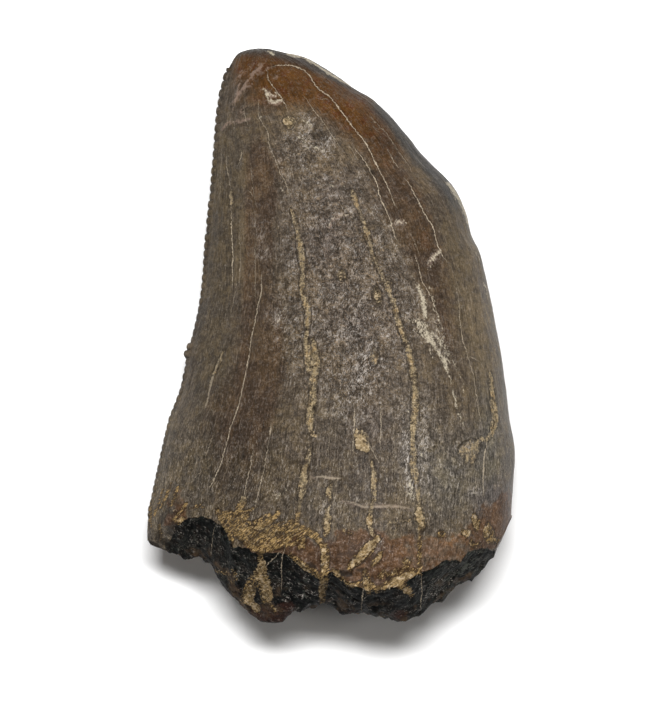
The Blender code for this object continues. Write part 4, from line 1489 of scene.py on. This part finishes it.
def creased(vector, scale, step, detail=2.0, distortion=0.8):
    """Ridged noise, and how much it falls from one side to the other of each point; the fall serves as painted light
    and shade, lighter on slopes that face +y.
    """
    sides = []
    for way in (-1, 1):
        at = G.mapping(vector, (scale,) * 3, (0.35 * way * step, way * step, 0))
        n = G.noise(at, 1.0, detail, 0.6, distortion)
        sides.append(G.math("ABSOLUTE", centred(n)))
    return sides[0], G.sub(sides[0], sides[1])


# the falls of both creases are painted light and shade of the crinkles
crease, crease_painted_shading = creased(pos, 1.5, 0.09)
crease2, crease2_painted_shading = creased(G.mapping(pos, (1, 1, 1), (7, 3, 5)), 3.0, 0.13)
PLAIN = (shade, crease_painted_shading, crease2_painted_shading)

colour = G.mix(G.ramp(G.add(olive, G.mul(centred(n_mid), 0.8)), 0.15, 0.85), TONE["body"], TONE["olive"])
colour = G.mix(G.mul(purple, G.ramp(n_mid, 0.35, 0.6, 0.4, 1.0)), colour, TONE["purple"])
colour = G.mix(
    G.ramp(G.add(umber, G.mul(centred(streak_c), 0.9)), 0.18, 0.95), colour, TONE["umber"]
)
amber_fac = G.ramp(G.add(amber, G.mul(centred(n_mid), 0.6)), 0.10, 0.85)
amber_tone = G.mix(G.ramp(n_mid, 0.50, 0.62), TONE["amber"], TONE["redbrown"])
colour = G.mix(amber_fac, colour, amber_tone)
red_fac = G.ramp(G.add(red, G.mul(centred(n_mid), 1.2)), 0.25, 0.8)
colour = G.mix(red_fac, colour, TONE["red"])
colour = G.mix(G.mul(rimgrey, 0.85), colour, TONE["rimgrey"])
warm = G.ramp(G.add(n_mid, G.mul(centred(n_big), 0.8)), 0.40, 0.60)
colour = G.mix(1.0, colour, G.mix(warm, (0.99, 0.99, 1.06), (1.04, 1.0, 0.92)), "MULTIPLY")
grey_part = G.mul(G.ramp(G.three("wrap")[2], 22.0, 13.0), less(red_fac), less(umber))
colour = G.mix(G.mul(grey_part, 0.8), colour, G.mix(1.0, colour, (0.97, 1.0, 1.06), "MULTIPLY"))
colour = G.mix(G.mul(cool, less(G.mul(red_fac, 0.5))), colour, G.mix(1.0, colour, (1.0, 1.13, 1.28), "MULTIPLY"))
plain_part = less(G.mul(amber_fac, 0.6))
along_part = less(G.mul(frost, 0.5))
patch = G.ramp(G.noise(G.mapping(pos, (1, 0.8, 1), (2, 9, 4)), 0.75, 3.0, 0.6), 0.36, 0.62)
rubbed = G.mul(frost, G.ramp(patch, 0.0, 1.0, 0.45, 1.0))
low_part = G.mul(G.ramp(G.three("wrap")[2], 20.0, 12.0), less(red_fac))
colour = grainy(
    colour,
    (
        (shade, 1.0),
        (n_big, 1.3),
        (n_mid, G.add(2.1, G.mul(frost, 1.1))),
        (n_crumb, G.mul(plain_part, G.add(1.2, G.add(G.mul(rubbed, 0.9), G.mul(red_fac, 1.4))))),
        (n_fine, G.mul(plain_part, G.math("SUBTRACT", 1.9, G.mul(rubbed, 1.0)))),
        (n_grain, 0.9),
        (comb, G.mul(plain_part, G.add(0.7, G.add(G.mul(rubbed, 2.2), G.mul(low_part, 1.8))))),
        (dashes, G.mul(plain_part, G.add(1.2, G.add(G.mul(rubbed, 2.6), G.mul(low_part, 2.9))))),
        # painted light and shade of the crinkles, lighter on slopes that face +y
        (crease_painted_shading, G.add(1.0, G.mul(frost, 3.6))),
        (crease2_painted_shading, G.add(1.6, G.mul(frost, 4.0))),
        (streak_a, G.mul(along_part, G.ramp(n_mid, 0.35, 0.65, 0.3, 0.9))),
        (streak_b, G.mul(along_part, less(G.mul(red_fac, 0.7)), G.ramp(n_mid, 0.65, 0.35, 1.4, 3.0))),
        (streak_c, 0.9),
    ),
)
speck = G.mul(G.ramp(n_fine, 0.54, 0.64), G.ramp(n_crumb, 0.46, 0.58), red_fac, 0.60)
colour = G.mix(speck, colour, TONE["fold"])
# hairlines along the crown: pale ones, and dark ones between them
pale_line = G.mul(
    G.ramp(streak_b, 0.59, 0.70), G.ramp(n_crumb, 0.40, 0.58), less(G.mul(red_fac, 0.7)), G.math("SUBTRACT", 0.34, G.mul(amber_fac, 0.26))
)
colour = G.mix(pale_line, colour, TONE["frost"])
dark_line = G.mul(G.ramp(streak_b, 0.40, 0.30), 0.45)
colour = G.mix(dark_line, colour, TONE["dark"])
# pale dashes along the crown: scratches, made brighter as painted glints in the glint spots and the rubbed middle
dash = G.mul(
    G.ramp(dashes, 0.57, 0.66),
    G.ramp(n_mid, 0.40, 0.60, 0.35, 1.0),
    G.add(0.08, G.add(G.add(G.mul(low_part, 0.30), G.mul(rubbed, 0.36)), G.mul(painted_glint_spots, 0.90))),
)
colour = G.mix(dash, colour, TONE["flake_and_glint"])
# the worn middle: crinkles with painted glints along them and painted shade in their creases, pale flakes and specks of
# painted glint, and dark pits of painted shade
worn = G.ramp(G.add(frost, G.mul(centred(n_mid), 1.2)), 0.25, 0.85)
# painted glints along the crinkles
crinkle = G.math("MAXIMUM", G.ramp(crease, 0.022, 0.004), G.mul(G.ramp(crease2, 0.030, 0.006), 0.9))
crinkle = G.mul(crinkle, G.ramp(n_crumb, 0.44, 0.58), G.ramp(n_fine, 0.34, 0.54))
colour = G.mix(G.mul(crinkle, G.add(0.16, G.add(G.mul(worn, 0.50), G.mul(painted_glint_spots, 0.35)))), colour, TONE["flake_and_glint"])
# painted shade in the creases
crease_gap_shade = G.mul(G.ramp(crease, 0.026, 0.006), G.ramp(n_mid, 0.54, 0.44), G.add(0.12, G.mul(worn, 0.34)))
colour = G.mix(crease_gap_shade, colour, TONE["dark"])
# pale flakes of painted glint
flake_and_glint = G.mul(
    G.ramp(G.add(comb, G.mul(centred(n_mid), 0.5)), 0.54, 0.66),
    G.add(G.mul(worn, patch, 0.30), G.mul(painted_glint_spots, 0.62)),
)
colour = G.mix(flake_and_glint, colour, TONE["flake_and_glint"])
# pale specks of painted glint
pebble = G.mul(
    G.ramp(G.cells(G.mapping(pos, (1, 1, 1), (3, 8, 2)), 1.5), 0.19, 0.09), G.ramp(n_mid, 0.48, 0.56), 0.5
)
pebble = G.mul(pebble, G.add(0.15, worn), less(amber_fac))
colour = G.mix(pebble, colour, TONE["flake_and_glint"])
# dark pits of painted shade
pit_shade = G.ramp(G.noise(G.mapping(pos, (1, 0.8, 1), (4, 8, 1)), 3.0, 3.0, 0.6), 0.40, 0.30)
pit_shade = G.mul(pit_shade, G.add(0.15, G.add(G.mul(worn, 0.42), G.mul(low_part, 0.35))))
colour = G.mix(pit_shade, colour, TONE["dark"])

weave = G.noise(G.turned(pos, 38, (1.3, 5.4, 2.0)), 1.0, 3.0, 0.65, 1.6)
fold_noise = G.add(G.mul(centred(n_crumb), 1.4), G.mul(centred(n_fine), 1.6))
# folds: painted highlight on the ridges and painted shade just below them
colour = G.mix(G.mul(G.ramp(G.add(fold, fold_noise), 0.10, 1.05), G.ramp(fold, 0.02, 0.3), 0.66), colour, TONE["fold"])
colour = G.mix(G.mul(G.ramp(G.add(fold_low, fold_noise), 0.1, 0.9), G.ramp(fold_low, 0.02, 0.3), 0.5), colour, TONE["dirt_and_shade"])

# the break: black and glossy, in rounded lumps, with brown and grey-green in it; painted shade darkens the crevices
# between the lumps, painted highlight lightens their tops, and painted glints are strewn over it
on_break = G.ramp(G.add(rim, G.mul(centred(n_mid), 0.3)), 0.12, -0.02)
on_break = G.mul(on_break, less(G.ramp(G.add(skin, G.mul(centred(n_crumb), 0.8)), 0.35, 0.6)))
lumps = G.cells(G.mapping(pos, (1, 1, 0.8), (1, 6, 3)), 1.5, "SMOOTH_F1")
lumps2 = G.cells(pos, 3.4, "SMOOTH_F1")
# where the painted glints fall
glint = G.mul(G.ramp(n_fine, 0.53, 0.62), G.ramp(n_mid, 0.44, 0.56), G.ramp(n_crumb, 0.44, 0.56), G.add(0.34, painted_glint_spots))
break_tone = G.mix(G.ramp(n_mid, 0.46, 0.66), TONE["black"], TONE["break_brown"])
break_tone = G.mix(
    G.mul(G.ramp(n_crumb, 0.46, 0.66), G.ramp(n_big, 0.40, 0.60, 0.5, 0.9)), break_tone, TONE["break_green"]
)
break_tone = G.mix(G.ramp(G.add(rust, G.mul(centred(n_crumb), 1.0)), 0.35, 0.8), break_tone, TONE["rust"])
break_tone = grainy(break_tone, ((n_crumb, 3.0), (n_fine, 4.0), (n_grain, 3.0)))
# painted shade in the crevices between the lumps
break_tone = G.mix(G.mul(G.ramp(lumps, 0.50, 0.80), 0.85), break_tone, TONE["black"])
break_tone = G.mix(G.mul(G.ramp(weave, 0.48, 0.66), G.mul(fibre, 0.85)), break_tone, TONE["fibre"])
# painted highlight on the tops of the small lumps, strongest in the glint spots
break_tone = G.mix(G.mul(G.ramp(lumps2, 0.44, 0.14), G.ramp(n_mid, 0.46, 0.56, 0.06, 0.62), G.add(0.40, G.mul(painted_glint_spots, 0.8))), break_tone, TONE["fibre"])
# painted glints
break_tone = G.mix(G.mul(glint, 0.90), break_tone, TONE["flake_and_glint"])
inner_tone = G.mix(
    G.ramp(G.noise(pos, 0.5, 4.0, 0.65), 0.50, 0.64),
    break_tone,
    grainy(TONE["umber"], ((n_crumb, 3.0), (n_fine, 3.0))),
)
break_tone = G.mix(G.ramp(rim, -2.5, -5.0), break_tone, inner_tone)
colour = G.mix(on_break, colour, break_tone)

# cracks
crack_mask = crack_side = None
jag = G.add(G.mul(centred(n_fine), 0.20), G.mul(centred(n_crumb), 0.24))
for k in range(SETS):
    d, w, s = G.three(f"crack_{k}")
    dist = G.math("DIVIDE", G.math("ABSOLUTE", G.add(d, jag)), w)
    m = G.mul(G.ramp(dist, 1.30, 0.40), s)
    beside = G.mul(G.ramp(dist, 5.0, 1.6), s)
    crack_mask = m if crack_mask is None else G.math("MAXIMUM", crack_mask, m)
    crack_side = beside if crack_side is None else G.math("MAXIMUM", crack_side, beside)
gate_noise = G.noise(pos, 1.7, 3.0, 0.6)
strength = G.mul(crack_mask, G.ramp(gate_noise, 0.30, 0.52, 0.40, 1.0))
strength = G.mul(strength, G.ramp(n_fine, 0.30, 0.52, 0.55, 1.0))
colour = G.mix(G.mul(crack_side, G.ramp(n_mid, 0.42, 0.58, 0.08, 0.42)), colour, TONE["dark"])
colour = G.mix(strength, colour, TONE["cream"])

# crumbs of tan matrix: along the crown on the enamel, in a slanting weave beside the break
slant = G.ramp(rim, 4.6, 2.6)
thread = G.mix(slant, streak_b, weave)
ragged = G.add(G.mul(centred(n_crumb), G.math("SUBTRACT", 1.5, G.mul(slant, 0.7))), G.mul(centred(n_fine), G.add(1.0, G.mul(slant, 0.6))))
ragged = G.add(ragged, G.mul(centred(n_grain), 0.8))
ragged = G.add(ragged, G.mul(centred(thread), G.add(0.8, G.mul(slant, 3.4))))
body_of = G.mul(G.ramp(G.add(tan, G.mul(ragged, 0.35)), 0.12, 0.50), 0.36)
crumbs = G.ramp(G.add(tan, ragged), 0.24, 0.74)
tan_fac = G.mul(G.math("MAXIMUM", body_of, crumbs), G.ramp(tan, 0.04, 0.26), 0.92)
tan_tone = G.mix(G.ramp(G.add(n_mid, G.mul(slant, 0.26)), 0.50, 0.66), TONE["tan"], G.mix(slant, TONE["ochre"], TONE["gold"]))
tan_tone = grainy(tan_tone, ((n_mid, 1.6), (n_crumb, 2.2), (n_fine, 2.2), (n_grain, 1.8), (thread, G.add(2.2, G.mul(slant, 2.6)))))
tan_tone = G.mix(G.mul(G.ramp(G.add(n_crumb, G.mul(centred(n_fine), 0.6)), 0.50, 0.40), less(G.mul(slant, 0.4)), 0.80), tan_tone, TONE["dirt_and_shade"])
tan_tone = G.mix(G.mul(G.ramp(thread, 0.53, 0.43), slant, 0.90), tan_tone, TONE["dirt_and_shade"])
tan_tone = G.mix(G.mul(G.ramp(G.add(n_fine, G.mul(centred(n_grain), 0.5)), 0.55, 0.68), G.math("SUBTRACT", 0.50, G.mul(slant, 0.24))), tan_tone, TONE["cream"])
border = G.mul(G.ramp(tan, 0.02, 0.10), G.ramp(tan, 0.46, 0.22), less(on_break))
colour = G.mix(G.mul(border, G.ramp(n_mid, 0.40, 0.56, 0.10, 0.70)), colour, TONE["dark"])
colour = G.mix(G.mul(G.ramp(tan, 0.05, 0.30), slant, less(on_break), 0.60), colour, TONE["dirt_and_shade"])
colour = G.mix(tan_fac, colour, tan_tone)
# lumps of clay are smoother, with a dark line round them
clay_edge = G.add(clay, G.add(G.mul(centred(n_crumb), 0.9), G.mul(centred(n_fine), 0.9)))
clay_fac = G.mul(G.ramp(clay_edge, 0.40, 0.62), G.ramp(clay, 0.03, 0.2), 0.94)
clay_tone = G.mix(G.ramp(G.add(n_mid, G.mul(slant, 0.16)), 0.50, 0.64), TONE["clay"], TONE["ochre"])
clay_tone = grainy(clay_tone, ((n_mid, 1.2), (n_crumb, 2.4), (n_fine, 2.0), (n_grain, 1.6), (weave, G.mul(slant, 3.2))))
clay_tone = G.mix(G.mul(G.ramp(weave, 0.47, 0.39), slant, 0.85), clay_tone, TONE["dirt_and_shade"])
clay_tone = G.mix(G.mul(G.ramp(n_crumb, 0.44, 0.36), 0.6), clay_tone, TONE["dirt_and_shade"])
clay_tone = G.mix(G.mul(G.ramp(G.add(n_crumb, G.mul(centred(n_fine), 0.6)), 0.53, 0.66), 0.45), clay_tone, TONE["cream"])
edge_line = G.mul(G.ramp(clay_edge, 0.18, 0.34), G.ramp(clay_edge, 0.52, 0.40), G.ramp(clay, 0.03, 0.2))
colour = G.mix(G.mul(edge_line, 0.55), colour, TONE["dark"])
colour = G.mix(clay_fac, colour, clay_tone)
tan_fac = G.math("MAXIMUM", tan_fac, clay_fac)
# white bruises, made of fine scratches
scrape = G.noise(G.turned(pos, -58, (1.6, 7.5, 4.0), (2, 6, 1)), 1.0, 2.0, 0.6)
white_noise = G.add(G.mul(centred(n_crumb), 1.0), G.mul(centred(n_fine), 1.4))
white_noise = G.add(white_noise, G.mul(centred(scrape), 1.5))
white_fac = G.ramp(G.add(white, white_noise), 0.26, 0.90)
white_fac = G.mul(white_fac, G.ramp(white, 0.04, 0.2), 0.80)
white_tone = grainy(TONE["white"], ((n_fine, 1.4), (n_grain, 1.4)))
colour = G.mix(white_fac, colour, white_tone)
dark_fac = G.mul(G.ramp(G.add(dark, G.mul(centred(n_fine), 0.8)), 0.12, 0.85), 0.85)
colour = G.mix(dark_fac, colour, TONE["dark"])
# painted shade in the clefts between denticles
colour = G.mix(G.mul(den, 0.8), colour, TONE["dark"])
G.put(shader.inputs["Base Color"], colour)
shader.inputs["Specular IOR Level"].default_value = 0.04

rough = G.add(0.34, G.mul(n_mid, 0.16))
rough = G.math("MAXIMUM", rough, G.mul(strength, 0.8))
rough = G.math("MAXIMUM", rough, G.mul(white_fac, 0.7))
rough = G.mix(on_break, rough, G.add(0.50, G.mul(n_mid, 0.3)))
rough = G.math("MAXIMUM", rough, G.mul(tan_fac, 0.85))
G.put(shader.inputs["Roughness"], rough)

relief = G.mul(streak_a, 0.35)
relief = G.add(relief, G.mul(streak_b, 0.35))
relief = G.add(relief, G.mul(crease, G.add(0.4, G.mul(frost, 3.0))))
relief = G.add(relief, G.mul(crease2, G.add(0.3, G.mul(frost, 1.6))))
relief = G.add(relief, G.mul(n_crumb, G.add(0.3, G.mul(frost, 1.2))))
relief = G.add(relief, G.mul(n_fine, G.add(0.35, G.mul(frost, 1.0))))
relief = G.add(relief, G.mul(n_grain, G.add(0.25, G.mul(frost, 0.6))))
relief = G.sub(relief, G.mul(strength, 0.6))
relief = G.add(relief, G.mul(tan_fac, 0.5))
relief = G.sub(relief, G.mul(on_break, G.add(G.mul(lumps, 3.0), G.mul(lumps2, 1.6))))
relief = G.add(relief, G.mul(on_break, G.mul(n_fine, 1.8)))
bump = G.made.new("ShaderNodeBump")
bump.inputs["Strength"].default_value = 0.8
bump.inputs["Distance"].default_value = 0.00006
G.link(relief, bump.inputs["Height"])
G.link(bump.outputs[0], shader.inputs["Normal"])
mesh.materials.append(material)

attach(tooth, "root")
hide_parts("tooth")

# ------------------------------------------------------- floor, light, camera
bpy.ops.mesh.primitive_plane_add(size=3.0, location=(0, 0, 0))
floor = bpy.context.active_object
floor.name = "floor"
paper = bpy.data.materials.new("white_floor")
paper.use_nodes = True
p = paper.node_tree.nodes["Principled BSDF"]
p.inputs["Base Color"].default_value = (0.95, 0.95, 0.95, 1)
p.inputs["Roughness"].default_value = 0.9
p.inputs["Specular IOR Level"].default_value = 0.1
floor.data.materials.append(paper)

scene = bpy.context.scene
world = bpy.data.worlds.new("studio")
world.use_nodes = True
world.node_tree.nodes["Background"].inputs[0].default_value = (1, 1, 1, 1)
world.node_tree.nodes["Background"].inputs[1].default_value = 0.055
scene.world = world


def area(name, where, aim, size, power, colour=(1, 1, 1)):
    light = bpy.data.lights.new(name, "AREA")
    light.shape, light.size, light.energy, light.color = "SQUARE", size, power, colour
    obj = bpy.data.objects.new(name, light)
    obj.location = where
    from mathutils import Vector

    way = Vector(aim) - Vector(where)
    obj.rotation_euler = way.to_track_quat("-Z", "Y").to_euler()
    obj.visible_camera = False
    scene.collection.objects.link(obj)
    return obj


key = area("key", (0.006, 0.112, 0.50), (0, 0, 0), 0.085, 4.5)
key.data.shape, key.data.size, key.data.size_y = "RECTANGLE", 0.21, 0.088
area("left", (-0.45, 0.04, 0.20), (0, 0, 0.005), 0.25, 0.44, (1.0, 0.97, 0.93))
area("right", (0.45, 0.04, 0.20), (0, 0, 0.005), 0.25, 0.54, (1.0, 0.97, 0.93))

LENS, SENSOR, REF_Z = 1600.0, 36.0, 0.0060
view_h = 702 / UNITS_PER_MM / 1000
distance = LENS * view_h / SENSOR
cam = bpy.data.cameras.new("camera")
cam.lens, cam.sensor_width, cam.sensor_fit = LENS, SENSOR, "AUTO"
cam.clip_start, cam.clip_end = 0.01, 20.0
camera = bpy.data.objects.new("camera", cam)
camera.location = (
    (332.5 - DRAWING_MID[0]) / UNITS_PER_MM / 1000,
    (DRAWING_MID[1] - 351.0) / UNITS_PER_MM / 1000,
    REF_Z + distance,
)
scene.collection.objects.link(camera)
scene.camera = camera
scene.view_settings.view_transform = "Standard"
